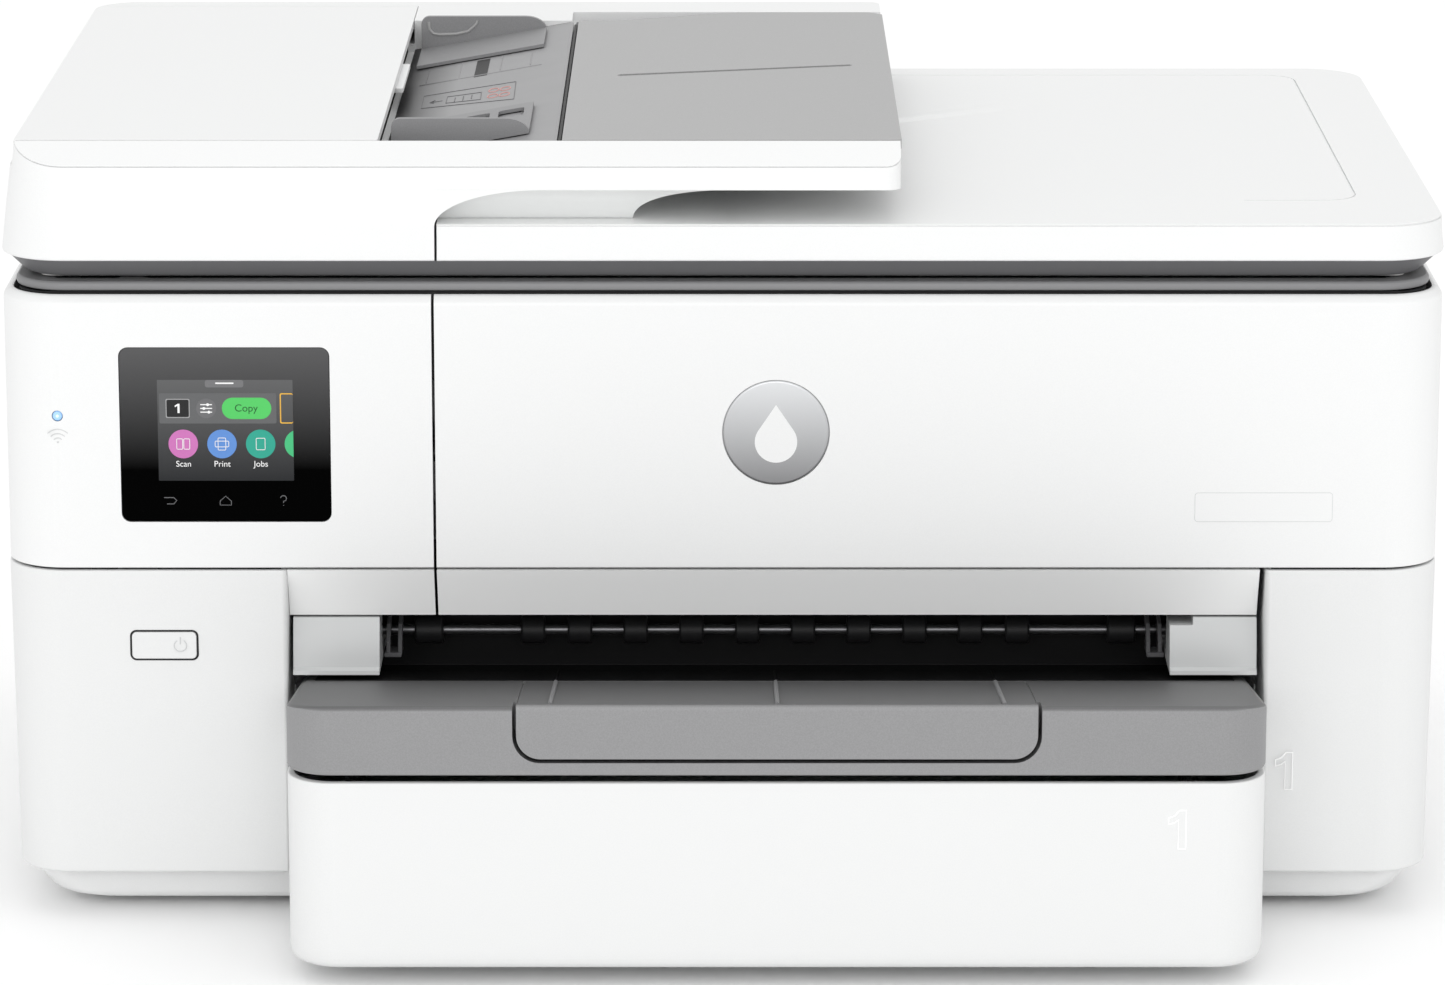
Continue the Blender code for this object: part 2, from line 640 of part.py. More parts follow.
def roller_profile(start, end, shaft, rollers):
    """Profile of a shaft with rollers given as (middle, width, radius)."""
    profile = [(start, shaft)]
    for centre, width, radius in sorted(rollers):
        profile += [(centre - width / 2, shaft), (centre - width / 2, radius),
                    (centre + width / 2, radius), (centre + width / 2, shaft)]
    return profile + [(end, shaft)]


def make_rollers():
    rollers = [(-0.1545, 0.0030, 0.0060)]
    for side in (-1, 1):
        rollers.append((PATH_MIDDLE + side * BIG_ROLLER, 0.0100, ROLLER_RADIUS))
        rollers.append((PATH_MIDDLE + side * SMALL_OUTER, 0.0085, ROLLER_RADIUS))
        for step in range(4):
            rollers.append((PATH_MIDDLE + side * (step + 0.5) * SMALL_PITCH, 0.0085,
                            ROLLER_RADIUS))
    output = turned("output_roller", "X", OUTPUT_SHAFT,
                    roller_profile(-0.1590, 0.1700, 0.0018, rollers), "mid_grey")
    feed = turned("feed_roller", "X", FEED_SHAFT,
                  roller_profile(-0.1590, 0.1980, 0.0030,
                                 [(-0.1545, 0.0030, 0.0060), (0.0190, 0.3180, 0.0058)]),
                  "rubber", sides=14)
    pick = turned("pick_roller", "X", PICK_SHAFT,
                  roller_profile(-0.0600, 0.0960, 0.0030, [(0.0180, 0.0360, 0.0120)]),
                  "rubber", sides=16)
    for item, place in ((output, OUTPUT_SHAFT), (feed, FEED_SHAFT), (pick, PICK_SHAFT)):
        hang(pivot(f"{item.name}_axis", item.location.x, *place), item)


CARRIAGE = ((0.1250, 0.2250), (0.0700, 0.1575), (0.0985, 0.1650))
CARTRIDGE_WIDTH = 0.0205
CARTRIDGE_PITCH = 0.0230
INKS = (("black", "black"), ("cyan", "cyan"), ("magenta", "magenta"), ("yellow", "yellow"))


def make_engine():
    rail = (-0.2120, 0.2350)
    room = (rail[0] + 0.0025, rail[1] - 0.0025)
    plate = 0.0020
    side_depth = (0.0620, 0.1950)
    side_height = (0.0760, 0.1850)
    chassis = box("chassis", (rail[0], rail[0] + plate), side_depth, side_height, "steel")
    join(chassis,
         box("rail_plate", (rail[0] + 0.0005, rail[1] - 0.0005), (0.1620, 0.1640),
             (0.1100, 0.1845)),
         box("right_plate", (rail[1] - plate, rail[1]), side_depth, side_height),
         box("rear_beam", (rail[0] + 0.0005, rail[1] - 0.0005), (0.1880, 0.1945),
             (0.0765, 0.0810)))
    rod("carriage_rod", "X", room, *CARRIAGE_ROD, 0.0040, "steel")
    belt_depth = (0.1440, 0.1560)
    belt = box("carriage_belt", room, belt_depth, (0.1690, 0.1750), "black", corner=0.0058,
               steps=4)
    cut(belt, box("belt_inside", grow(room, -0.001), grow(belt_depth, -0.001),
                  (0.1600, 0.1850), corner=0.0048, steps=4))
    box("platen", (-0.1400, 0.1780), (0.0620, 0.1380), (0.0850, 0.0930), "dark_grey")
    station = box("service_station", (0.1830, 0.2280), (0.0750, 0.1380), (0.0760, 0.0955),
                  "mid_grey")
    cut(station, box("cap_room", (0.1870, 0.2240), (0.0850, 0.1280), (0.0880, 0.1100)))

    slide = pivot("print_carriage_slide", sum(CARRIAGE[0]) / 2, *CARRIAGE_ROD)
    carriage = box("print_carriage", *CARRIAGE, "dark_grey", corner=0.003)
    cut(carriage, rod("rod_bore", "X", grow(CARRIAGE[0], 0.01), *CARRIAGE_ROD, 0.0046))
    hang(slide, carriage)
    for index, (ink, finish) in enumerate(INKS):
        centre = sum(CARRIAGE[0]) / 2 + (index - 1.5) * CARTRIDGE_PITCH
        across = (centre - CARTRIDGE_WIDTH / 2, centre + CARTRIDGE_WIDTH / 2)
        depth = (0.0755, 0.1350)
        cut(carriage, box(f"{ink}_slot", grow(across, FIT), grow(depth, FIT),
                          (0.1050, 0.2000)))
        hang(slide, box(f"ink_cartridge_{ink}", across, depth, (0.1053, 0.1640), finish))


def build():
    make_base()
    make_lower_housing()
    make_exit_blocks()
    make_upper_housing()
    make_ink_door()
    make_scanner()
    lid_hinge = pivot("lid_hinge", 0.0, *LID_HINGE)
    make_lid(lid_hinge)
    make_feeder(lid_hinge)
    make_output_tray()
    make_cassette()
    make_rollers()
    make_engine()


clear_scene()
PARTS = new_collection("inkjet_printer")
CUTTERS = new_collection("cutters")
build()
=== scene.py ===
"""Looks of the inkjet printer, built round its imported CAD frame.

Metres, +X to the right of someone facing the front, +Y to the back, +Z up. A depth is measured
from the body's front face towards the back, as in the CAD, so the trays have negative depths.
"""
import math

import bmesh
import bpy
from mathutils import Matrix, Vector


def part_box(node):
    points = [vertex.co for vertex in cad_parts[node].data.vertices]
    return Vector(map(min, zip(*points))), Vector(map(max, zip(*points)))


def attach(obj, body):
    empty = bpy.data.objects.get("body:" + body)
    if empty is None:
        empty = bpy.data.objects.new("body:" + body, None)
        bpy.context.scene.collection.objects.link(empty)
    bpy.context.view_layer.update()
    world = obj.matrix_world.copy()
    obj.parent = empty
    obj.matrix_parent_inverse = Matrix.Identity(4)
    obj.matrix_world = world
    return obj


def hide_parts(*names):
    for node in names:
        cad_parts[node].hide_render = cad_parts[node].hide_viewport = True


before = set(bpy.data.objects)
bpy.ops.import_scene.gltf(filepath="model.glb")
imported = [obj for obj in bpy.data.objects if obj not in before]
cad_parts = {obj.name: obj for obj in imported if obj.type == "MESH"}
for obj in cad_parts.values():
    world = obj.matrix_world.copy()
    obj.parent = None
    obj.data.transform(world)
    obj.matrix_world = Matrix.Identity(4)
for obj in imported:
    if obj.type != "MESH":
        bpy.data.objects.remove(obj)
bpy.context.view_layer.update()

# The body's front face and the lid's right edge.
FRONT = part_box("lower_housing")[0].y
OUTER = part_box("lid_shell")[1].x
# The inner edges of the front towers, between which the trays stand.
LEFT_EDGE = -0.1482
RIGHT_EDGE = 0.1845
# The gap between the fixed front and the ink door.
SPLIT_LEFT = -0.0983
SPLIT_RIGHT = -0.0973
# Mesh quality, in degrees and metres, and how far a cutter reaches past what it cuts.
SMOOTH_ANGLE = 32
DEGREES_PER_STEP = 9
MERGE_DISTANCE = 1e-6
FAR = 0.0500


# Mesh building

def depth_of(y):
    return y - FRONT


def span_of(node, axis):
    """The (low, high) of a CAD node's box along X, in depth (Y) or along Z."""
    low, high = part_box(node)
    if axis == "Y":
        return (depth_of(low.y), depth_of(high.y))
    index = "XYZ".index(axis)
    return (low[index], high[index])


def grow(span, amount):
    """A span with both ends moved outwards."""
    return (span[0] - amount, span[1] + amount)


def spans(node):
    """A CAD node's box as its (low, high) across, in depth and in height."""
    return tuple(span_of(node, axis) for axis in "XYZ")


def new_object(name, mesh):
    item = bpy.data.objects.new(name, mesh)
    bpy.context.scene.collection.objects.link(item)
    return item


def mesh_from(name, vertices, faces):
    mesh = bpy.data.meshes.new(name)
    mesh.from_pydata([tuple(v) for v in vertices], [], faces)
    shape = bmesh.new()
    shape.from_mesh(mesh)
    bmesh.ops.remove_doubles(shape, verts=shape.verts, dist=MERGE_DISTANCE)
    bmesh.ops.recalc_face_normals(shape, faces=shape.faces)
    shape.to_mesh(mesh)
    shape.free()
    return mesh


def arc(centre, radius, start, end, steps=4):
    """Points on a circle from one angle to another, in degrees; an ellipse has two radii."""
    wide, tall = radius if isinstance(radius, tuple) else (radius, radius)
    angles = [math.radians(start + (end - start) * step / steps) for step in range(steps + 1)]
    return [(centre[0] + wide * math.cos(angle), centre[1] + tall * math.sin(angle))
            for angle in angles]


def circle(centre, radius, steps=40):
    return arc(centre, radius, 0, 360 - 360 / steps, steps - 1)


def bowed(start, end, bow, steps):
    """Points on a line from start to end, pushed along its first axis into a shallow bow."""
    points = []
    for step in range(steps + 1):
        share = step / steps
        points.append((start[0] + (end[0] - start[0]) * share + bow * math.sin(math.pi * share),
                       start[1] + (end[1] - start[1]) * share))
    return points


def upright(points, depth):
    """Flat (across, height) points set up at a depth."""
    return [(x, FRONT + depth, z) for x, z in points]


def rounded_outline(across, height, radius, steps=6):
    """A rounded rectangle in a flat plane; radius is one number or four, from bottom left."""
    radii = radius if isinstance(radius, tuple) else (radius,) * 4
    (x0, x1), (z0, z1) = across, height
    corners = ((x0, z0, 1, 1, 180), (x1, z0, -1, 1, 270), (x1, z1, -1, -1, 0),
               (x0, z1, 1, -1, 90))
    points = []
    for (x, z, to_x, to_z, start), r in zip(corners, radii):
        points += arc((x + to_x * r, z + to_z * r), r, start, start + 90, steps)
    return points


def node_outline(node, radius, gap=0.0, steps=6):
    """A CAD node's rounded outline seen from the front, with a gap round it."""
    return rounded_outline(grow(span_of(node, "X"), gap), grow(span_of(node, "Z"), gap), radius,
                           steps)


def ring(across, depth, radii, height, steps=8):
    """A rounded rectangle at one height; radii run front left, front right, back right, back left.

    height is a number, or a function of depth for a sloping edge.
    """
    level = height if callable(height) else (lambda _: height)
    return [(x, FRONT + d, level(d)) for x, d in rounded_outline(across, depth, radii, steps)]


def loft(name, rings):
    """A skin through rings of equal count, closed by a flat cap at each end."""
    count = len(rings[0])
    last = (len(rings) - 1) * count
    vertices = [point for one in rings for point in one]
    faces = [tuple(reversed(range(count))), tuple(range(last, last + count))]
    for level in range(0, last, count):
        for i in range(count):
            j = (i + 1) % count
            faces.append((level + i, level + j, level + count + j, level + count + i))
    return new_object(name, mesh_from(name, vertices, faces))


def slab(name, across, depth, section, radius, steps=8):
    """A rounded block from (inset, height) points of its side, bottom to top."""
    return loft(name, [ring(grow(across, -inset), grow(depth, -inset),
                            (max(radius - inset, 0.0002),) * 4, z, steps)
                       for inset, z in section])


def block(name, across, depth, height, radius=0.0004, edge=0.0003, steps=2):
    """A small box with rounded plan corners and eased top and bottom edges."""
    low, high = height
    section = [(edge, low), (edge * 0.3, low + edge * 0.3), (0, low + edge),
               (0, high - edge), (edge * 0.3, high - edge * 0.3), (edge, high)]
    return slab(name, across, depth, section, max(radius, edge * 1.2), steps)


def plan_path(corners):
    """Points and inward normals along a plan line given as (across, depth, radius) corners.

    The inside is on the right of the way it runs.
    """
    path = []
    spots = [Vector(corner[:2]) for corner in corners]
    for index, spot in enumerate(spots):
        if index in (0, len(spots) - 1):
            run = (spots[1] - spot if index == 0 else spot - spots[-2]).normalized()
            path.append((spot, Vector((run.y, -run.x))))
            continue
        before = (spot - spots[index - 1]).normalized()
        after = (spots[index + 1] - spot).normalized()
        radius = corners[index][2]
        turn = math.atan2(before.x * after.y - before.y * after.x, before.dot(after))
        side = 1 if turn > 0 else -1
        start = spot - before * radius * math.tan(abs(turn) / 2)
        centre = start - Vector((before.y, -before.x)) * radius * side
        steps = max(2, round(abs(math.degrees(turn)) / DEGREES_PER_STEP))
        for step in range(steps + 1):
            inward = Vector((before.y, -before.x))
            inward.rotate(Matrix.Rotation(turn * step / steps, 2))
            path.append((centre + inward * radius * side, inward))
    return path


def sweep(name, path, section):
    """A closed section of (inset, height) points carried along a plan path, with capped ends."""
    return loft(name, [[(spot.x + inward.x * inset, FRONT + spot.y + inward.y * inset, z)
                        for inset, z in section] for spot, inward in path])


def layered(name, axis, layers):
    """A solid through (position, flat outline) layers along an axis.

    Outline points are (depth, height) along X, (across, height) along Y and (across, depth)
    along Z.
    """
    place = {"X": lambda flat, reach: (reach, FRONT + flat[0], flat[1]),
             "Y": lambda flat, reach: (flat[0], FRONT + reach, flat[1]),
             "Z": lambda flat, reach: (flat[0], FRONT + flat[1], reach)}[axis]
    return loft(name, [[place(point, reach) for point in outline] for reach, outline in layers])


def prism(name, points, axis, span):
    """A flat outline given thickness along an axis."""
    return layered(name, axis, [(reach, points) for reach in span])


def cylinder(name, axis, centre, span, radius, sides=48, ease=0.0):
    """A round piece along X, Y or Z with its end edges eased; centre is the other two places."""
    stops = [(span[0], radius - ease), (span[0] + ease, radius), (span[1] - ease, radius),
             (span[1], radius - ease)] if ease else [(span[0], radius), (span[1], radius)]
    return turned(name, axis, centre, stops, sides)


def turned(name, axis, centre, profile, sides=32):
    """A solid turned about an axis from (position, radius) points."""
    return layered(name, axis, [(position, circle(centre, radius, sides))
                                for position, radius in profile])


def tube(name, points, radius, closed=False):
    """A round line through points of the scene."""
    curve = bpy.data.curves.new(name, "CURVE")
    curve.dimensions = "3D"
    curve.bevel_depth = radius
    curve.bevel_resolution = 2
    curve.use_fill_caps = True
    spline = curve.splines.new("POLY")
    spline.points.add(len(points) - 1)
    for point, place in zip(spline.points, points):
        point.co = (*place, 1.0)
    spline.use_cyclic_u = closed
    return meshed(name, curve)


def meshed(name, curve):
    """A curve or a text as a mesh object."""
    holder = new_object(name, curve)
    mesh = baked_mesh(holder)
    bpy.data.objects.remove(holder)
    return new_object(name, mesh)


def baked_mesh(item):
    graph = bpy.context.evaluated_depsgraph_get()
    return bpy.data.meshes.new_from_object(item.evaluated_get(graph))


def bake(item):
    """Apply an object's modifiers."""
    mesh = baked_mesh(item)
    item.modifiers.clear()
    item.data = mesh
    return item


def carve(item, *tools, operation="DIFFERENCE"):
    """Cut, join or intersect with other solids, which are used up."""
    for tool in tools:
        change = item.modifiers.new("carve", "BOOLEAN")
        change.operation = operation
        change.solver = "EXACT"
        change.object = tool
        bake(item)
        bpy.data.objects.remove(tool)
    return item


def fuse(item, *tools):
    return carve(item, *tools, operation="UNION")


def gather(name, items):
    """Several separate solids as one object."""
    shape = bmesh.new()
    for item in items:
        shape.from_mesh(item.data)
        bpy.data.objects.remove(item)
    mesh = bpy.data.meshes.new(name)
    shape.to_mesh(mesh)
    shape.free()
    return new_object(name, mesh)


def ease_edges(item, width, angle=40):
    """Round an object's sharp edges."""
    shape = bmesh.new()
    shape.from_mesh(item.data)
    bmesh.ops.remove_doubles(shape, verts=shape.verts, dist=MERGE_DISTANCE)
    bmesh.ops.dissolve_limit(shape, angle_limit=math.radians(0.5), verts=shape.verts,
                             edges=shape.edges)
    shape.to_mesh(item.data)
    shape.free()
    bevel = item.modifiers.new("edges", "BEVEL")
    bevel.width = width
    bevel.segments = 2
    bevel.limit_method = "ANGLE"
    bevel.angle_limit = math.radians(angle)
    bevel.harden_normals = False
    return bake(item)


def settle(item, body, material, nodes=()):
    """Shade, paint and mount a finished piece."""
    mesh = item.data
    mesh.materials.clear()
    mesh.materials.append(material)
    mesh.shade_smooth()
    mesh.set_sharp_from_angle(angle=math.radians(SMOOTH_ANGLE))
    normals = item.modifiers.new("normals", "WEIGHTED_NORMAL")
    normals.keep_sharp = True
    normals.weight = 80
    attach(item, body)
    if nodes:
        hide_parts(*nodes)


# Materials

# Depth of the moulded texture's bump.
GRAIN_DEPTH = 0.0002


def new_shader(name):
    """A new material, its node tree and its main shader."""
    material = bpy.data.materials.new(name)
    material.use_nodes = True
    return material, material.node_tree, material.node_tree.nodes["Principled BSDF"]


def feed(tree, node, values):
    """Give each named input its number, or a link from the output that drives it."""
    for name, value in values.items():
        if isinstance(value, bpy.types.NodeSocket):
            tree.links.new(value, node.inputs[name])
        else:
            node.inputs[name].default_value = value


def add_node(tree, kind, output, **values):
    """A node with its inputs fed, of which the named output is wanted; _ stands for a space."""
    node = tree.nodes.new(f"ShaderNode{kind}")
    if kind == "Mix":
        node.data_type = "RGBA"
    feed(tree, node, {name.replace("_", " "): value for name, value in values.items()})
    return node.outputs[output]


def shade(colour, share=1.0):
    return (*[min(1.0, part * share) for part in colour], 1)


def moulded(name, colour, roughness=0.45, grain=2600.0, bump=0.04, specular=0.5, variation=0.02,
            speckled=False):
    """Moulded plastic: a fine eroded texture, with slight drifts of colour and gloss.

    A speckled one varies in colour with the texture itself, from grain to grain.
    """
    material, tree, shader = new_shader(name)
    place = add_node(tree, "TexCoord", "Object")
    drift = add_node(tree, "TexNoise", "Fac", Vector=place, Scale=9.0, Detail=3.0)
    texture = add_node(tree, "TexNoise", "Fac", Vector=place, Scale=grain, Detail=2.0)
    feed(tree, shader, {
        "Specular IOR Level": specular,
        "Base Color": add_node(tree, "Mix", "Result", Factor=texture if speckled else drift,
                               A=shade(colour, 1 - variation), B=shade(colour, 1 + variation)),
        "Roughness": add_node(tree, "MapRange", "Result", Value=texture,
                              To_Min=roughness - 0.05, To_Max=roughness + 0.05),
        "Normal": add_node(tree, "Bump", "Normal", Height=texture, Strength=bump,
                           Distance=GRAIN_DEPTH)})
    return material


def flat_finish(name, colour, roughness, metallic=0.0, specular=0.5, streak=0.0, glow=0.0):
    """A finish for metal, gloss, print or light, with a slight cloudiness in its roughness."""
    material, tree, shader = new_shader(name)
    place = add_node(tree, "TexCoord", "Object")
    stretched = add_node(tree, "Mapping", "Vector", Vector=place,
                         Scale=(1.0, 1.0, 1.0 + 40.0 * streak))
    cloud = add_node(tree, "TexNoise", "Fac", Vector=stretched, Scale=60.0 + 500.0 * streak)
    spread = 0.04 + 0.1 * streak
    feed(tree, shader, {
        "Metallic": metallic, "Specular IOR Level": specular,
        "Base Color": add_node(tree, "Mix", "Result", Factor=cloud, A=shade(colour, 0.97),
                               B=shade(colour, 1.03)),
        "Roughness": add_node(tree, "MapRange", "Result", Value=cloud,
                              To_Min=max(0.0, roughness - spread), To_Max=roughness + spread)})
    if glow:
        feed(tree, shader, {"Emission Color": shade(colour), "Emission Strength": glow})
    return material


def clear_glass(name):
    material = flat_finish(name, (0.80, 0.88, 0.86), 0.03, specular=0.6)
    material.node_tree.nodes["Principled BSDF"].inputs["Alpha"].default_value = 0.28
    return material


def climbing(tree, vector, axis, bottom, top):
    """How far one part of a vector has come from bottom to top, from 0 to 1."""
    parts = add_node(tree, "SeparateXYZ", axis, Vector=vector)
    return add_node(tree, "MapRange", "Result", Value=parts, From_Min=bottom, From_Max=top)


def graded(name, low, high, bottom, top, roughness, metallic=0.0, specular=0.5, axis="Z"):
    """A finish whose colour runs from low to high along one axis: painted reflection on the badge,
    the bezel and the display, painted shade on the feeder's floor.
    """
    material = flat_finish(name, low, roughness, metallic, specular)
    tree = material.node_tree
    climb = climbing(tree, add_node(tree, "TexCoord", "Object"), axis, bottom, top)
    feed(tree, tree.nodes["Principled BSDF"], {
        "Base Color": add_node(tree, "Mix", "Result", Factor=climb, A=shade(low),
                               B=shade(high))})
    return material


def painted_top_shade(name, upright_colour, level, roughness):
    """A moulded finish with painted shade: it darkens to a share, level, on faces that look up."""
    material = moulded(name, upright_colour, roughness, 2200.0, 0.10, variation=0.17,
                       speckled=True)
    tree = material.node_tree
    base = tree.nodes["Principled BSDF"].inputs["Base Color"]
    climb = climbing(tree, add_node(tree, "NewGeometry", "Normal"), "Z", 0.35, 0.95)
    top_shade = add_node(tree, "Mix", "Result", Factor=climb, A=base.links[0].from_socket,
                     B=shade((level,) * 3))
    top_shade.node.blend_type = "MULTIPLY"
    tree.links.new(top_shade, base)
    return material


WHITE = moulded("white_plastic", (0.785, 0.79, 0.788), 0.46, 2200.0, variation=0.03,
                speckled=True)
# Painted shade: a darker copy of the white plastic, for the lower housing, the power button and
# the drawer, which get less light.
LOWER_WHITE_PAINTED_SHADE = moulded("lower_white_painted_shade", (0.735, 0.74, 0.738), 0.48, 2200.0,
                      variation=0.035, speckled=True)
OFF_WHITE = moulded("off_white_plastic", (0.76, 0.77, 0.765), 0.48, variation=0.008)
PALE_GREY = moulded("pale_grey_plastic", (0.59, 0.60, 0.60), 0.48, variation=0.012)
TRAY_GREY = moulded("tray_grey_plastic", (0.335, 0.335, 0.34), 0.50, 2200.0, 0.10,
                    variation=0.15, speckled=True)
FEEDER_GREY = moulded("feeder_grey_plastic", (0.355, 0.355, 0.355), 0.46, 2200.0, 0.08,
                      variation=0.17, speckled=True)
# Painted shade: a darker copy of the feeder's grey, for the paper fences.
GUIDE_PAINTED_SHADE = moulded("guide_grey_painted_shade", (0.235, 0.235, 0.24), 0.46, 2200.0, 0.08,
                     variation=0.15, speckled=True)
BAND_GREY = moulded("band_grey_plastic", (0.22, 0.22, 0.225), 0.50, variation=0.02)
SHADE_GREY = moulded("shade_grey_plastic", (0.13, 0.13, 0.135), 0.50, variation=0.03)
DARK = moulded("dark_plastic", (0.016, 0.016, 0.017), 0.48, specular=0.3, variation=0.06)
INK_BLACK = moulded("black_plastic", (0.006, 0.006, 0.0065), 0.45, specular=0.2, variation=0.06)
RUBBER = moulded("rubber", (0.030, 0.030, 0.031), 0.78, grain=900.0, bump=0.25, specular=0.3,
                 variation=0.08)
FOAM = moulded("white_foam", (0.80, 0.80, 0.79), 0.85, grain=1400.0, bump=0.5, specular=0.2,
               variation=0.02)
GREEN_BOARD = moulded("circuit_board", (0.02, 0.15, 0.06), 0.40, grain=500.0, bump=0.2,
                      variation=0.15)
STEEL = flat_finish("brushed_steel", (0.56, 0.57, 0.58), 0.34, metallic=1.0, streak=0.6)
DARK_STEEL = flat_finish("coated_steel", (0.24, 0.24, 0.25), 0.38, metallic=0.9, streak=0.4)
GLASS = clear_glass("flat_glass")
# Painted light: a lighter copy of the white plastic, for the canopy lips, which face down into
# shade.
LIP_PAINTED_LIGHT = moulded("canopy_white_painted_light", (0.94, 0.945, 0.94), 0.46, variation=0.006)
# Painted highlight: the raised number's outline is brighter than the housing round it.
DIGIT_PAINTED_HIGHLIGHT = moulded("digit_painted_highlight", (0.96, 0.96, 0.96), 0.5, variation=0.004)
# Painted shade: the trays' faces that look up are darkened, as the body above shades them.
TRAY_PAINTED_SHADE = painted_top_shade("tray_plastic_painted_top_shade", (0.252, 0.252, 0.256), 0.45, 0.50)
PALE_RED = flat_finish("pale_red_print", (0.62, 0.30, 0.28), 0.5)
# Painted reflection: the badge's metal runs from dark at its foot to bright at its top.
BADGE_PAINTED_REFLECTION = graded("badge_metal_painted_reflection", (0.20, 0.20, 0.205), (0.62, 0.63, 0.64), 0.153, 0.189,
                     0.30, 0.55)
# Painted reflection: the bezel's gloss black runs from black at its foot to grey at its top.
BEZEL_PAINTED_REFLECTION = graded("bezel_painted_reflection", (0.0005, 0.0005, 0.0005), (0.112, 0.112, 0.114), 0.158,
                     0.206, 0.30, specular=0.01)
# Painted shade: the feeder's floor darkens to near black by the cover's edge.
FLOOR_PAINTED_SHADE = graded("feeder_floor_painted_shade", (0.012, 0.012, 0.013), (0.29, 0.29, 0.295), -0.1145,
                    -0.0960, 0.46, specular=0.4, axis="X")


# Sections shared by the shells

# Radius of a shell wall's outer edges.
TOP_ROUND = 0.0006


def wall_section(low, high, wall, taper=0.0, bottom_round=0.0006):
    """The closed section of an upright wall, outer side first; taper draws its foot inwards."""
    foot = arc((taper + bottom_round, low + bottom_round), bottom_round, 270, 180)
    head = arc((TOP_ROUND, high - TOP_ROUND), TOP_ROUND, 180, 90)
    return foot + head + [(wall, high), (wall + taper, low)]


# Lower storey

LOWER_BOTTOM, LOWER_TOP = span_of("lower_housing", "Z")
LOWER_OUT = span_of("lower_housing", "X")[1]
BODY_BACK = span_of("lower_housing", "Y")[1]
# The wall's thickness, how far its foot is drawn in, and the body's corners in plan.
LOWER_WALL = 0.0022
LOWER_TAPER = 0.0012
BODY_CORNER = 0.0205
# Depths between which a cutter opens the front or the back wall.
FRONT_WALL = (-0.01, 0.01)
BACK_WALL = (0.30, 0.35)


def make_lower_housing():
    """A wall round the body, open at the front between the towers, where the trays stand."""
    room = 0.0355
    edge = 0.0020
    path = plan_path([
        (LEFT_EDGE, room, 0), (LEFT_EDGE, 0.0, edge), (-LOWER_OUT, 0.0, BODY_CORNER),
        (-LOWER_OUT, BODY_BACK, BODY_CORNER), (LOWER_OUT, BODY_BACK, BODY_CORNER),
        (LOWER_OUT, 0.0, BODY_CORNER), (RIGHT_EDGE, 0.0, edge), (RIGHT_EDGE, room, 0)])
    shell = sweep("lower_housing_shell", path,
                  wall_section(LOWER_BOTTOM, LOWER_TOP, LOWER_WALL, LOWER_TAPER, 0.0012))
    carve(shell,
          prism("hole", node_outline("power_button", 0.0018, 0.0005), "Y", FRONT_WALL),
          prism("hole", node_outline("power_inlet", 0.001, 0.0002), "Y", BACK_WALL),
          prism("hole", node_outline("data_ports", 0.001, 0.0002), "Y", BACK_WALL))
    vents = []
    for index in range(12):
        x = -0.060 + index * 0.0110
        vents.append(prism("vent", rounded_outline((x, x + 0.0035), (0.030, 0.070), 0.0017),
                           "Y", BACK_WALL))
    carve(shell, gather("vents", vents))
    # The lower housing wears the white with painted shade.
    settle(shell, "printer_body", LOWER_WHITE_PAINTED_SHADE, ("lower_housing",))
    make_tower_walls()


def make_tower_walls():
    """Inner side walls of the cassette's bay, behind the exit blocks and below the engine."""
    for side, across in (("left", (LEFT_EDGE - 0.0024, LEFT_EDGE)),
                         ("right", (RIGHT_EDGE, RIGHT_EDGE + 0.0024))):
        wall = block(f"bay_wall_{side}", across, (0.0358, BODY_BACK - 0.0030),
                     (LOWER_BOTTOM + 0.0005, 0.0730), 0.0008)
        settle(wall, "printer_body", OFF_WHITE)


def make_base():
    """The pan under the housing, drawn in like a boat's bottom, with its feet."""
    across, depth, (low, high) = spans("base_pan")
    rings = []
    for side, front, z in ((0.0200, 0.0050, low), (0.0140, 0.0032, low + 0.0004),
                           (0.0100, 0.0022, low + 0.0011), (0.0075, 0.0016, low + 0.0022),
                           (0.0058, 0.0012, low + 0.0036), (0.0022, 0.0004, low + 0.0085),
                           (0.0, 0.0, high - 0.0006), (0.0003, 0.0003, high)):
        rings.append(ring(grow(across, -side), grow(depth, -front), (0.0120 + front,) * 4, z,
                          10))
    pan = loft("base_shell", rings)
    floor = low + 0.0021
    bay = (LEFT_EDGE + 0.0008, RIGHT_EDGE - 0.0016)
    carve(pan, block("room", bay, (-FAR, depth[1] - 0.0170), (floor, high + FAR)))
    for side in ((across[0] + 0.0120, bay[0] - 0.0025), (bay[1] + 0.0025, across[1] - 0.0120)):
        carve(pan, block("room", side, grow(depth, -0.0120), (floor + 0.001, high + FAR), 0.014))
    settle(pan, "printer_body", WHITE, ("base_pan",))
    for index in range(1, 5):
        low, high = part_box(f"foot_{index}")
        middle = (low + high) / 2
        radius = (high.x - low.x) / 2
        foot = turned(f"rubber_foot_{index}", "Z", (middle.x, depth_of(middle.y)), [
            (low.z, radius - 0.0022), (low.z + 0.0001, radius - 0.0009),
            (low.z + 0.0006, radius - 0.0002), (low.z + 0.0011, radius),
            (high.z, radius)], 40)
        settle(foot, "printer_body", RUBBER, (f"foot_{index}",))


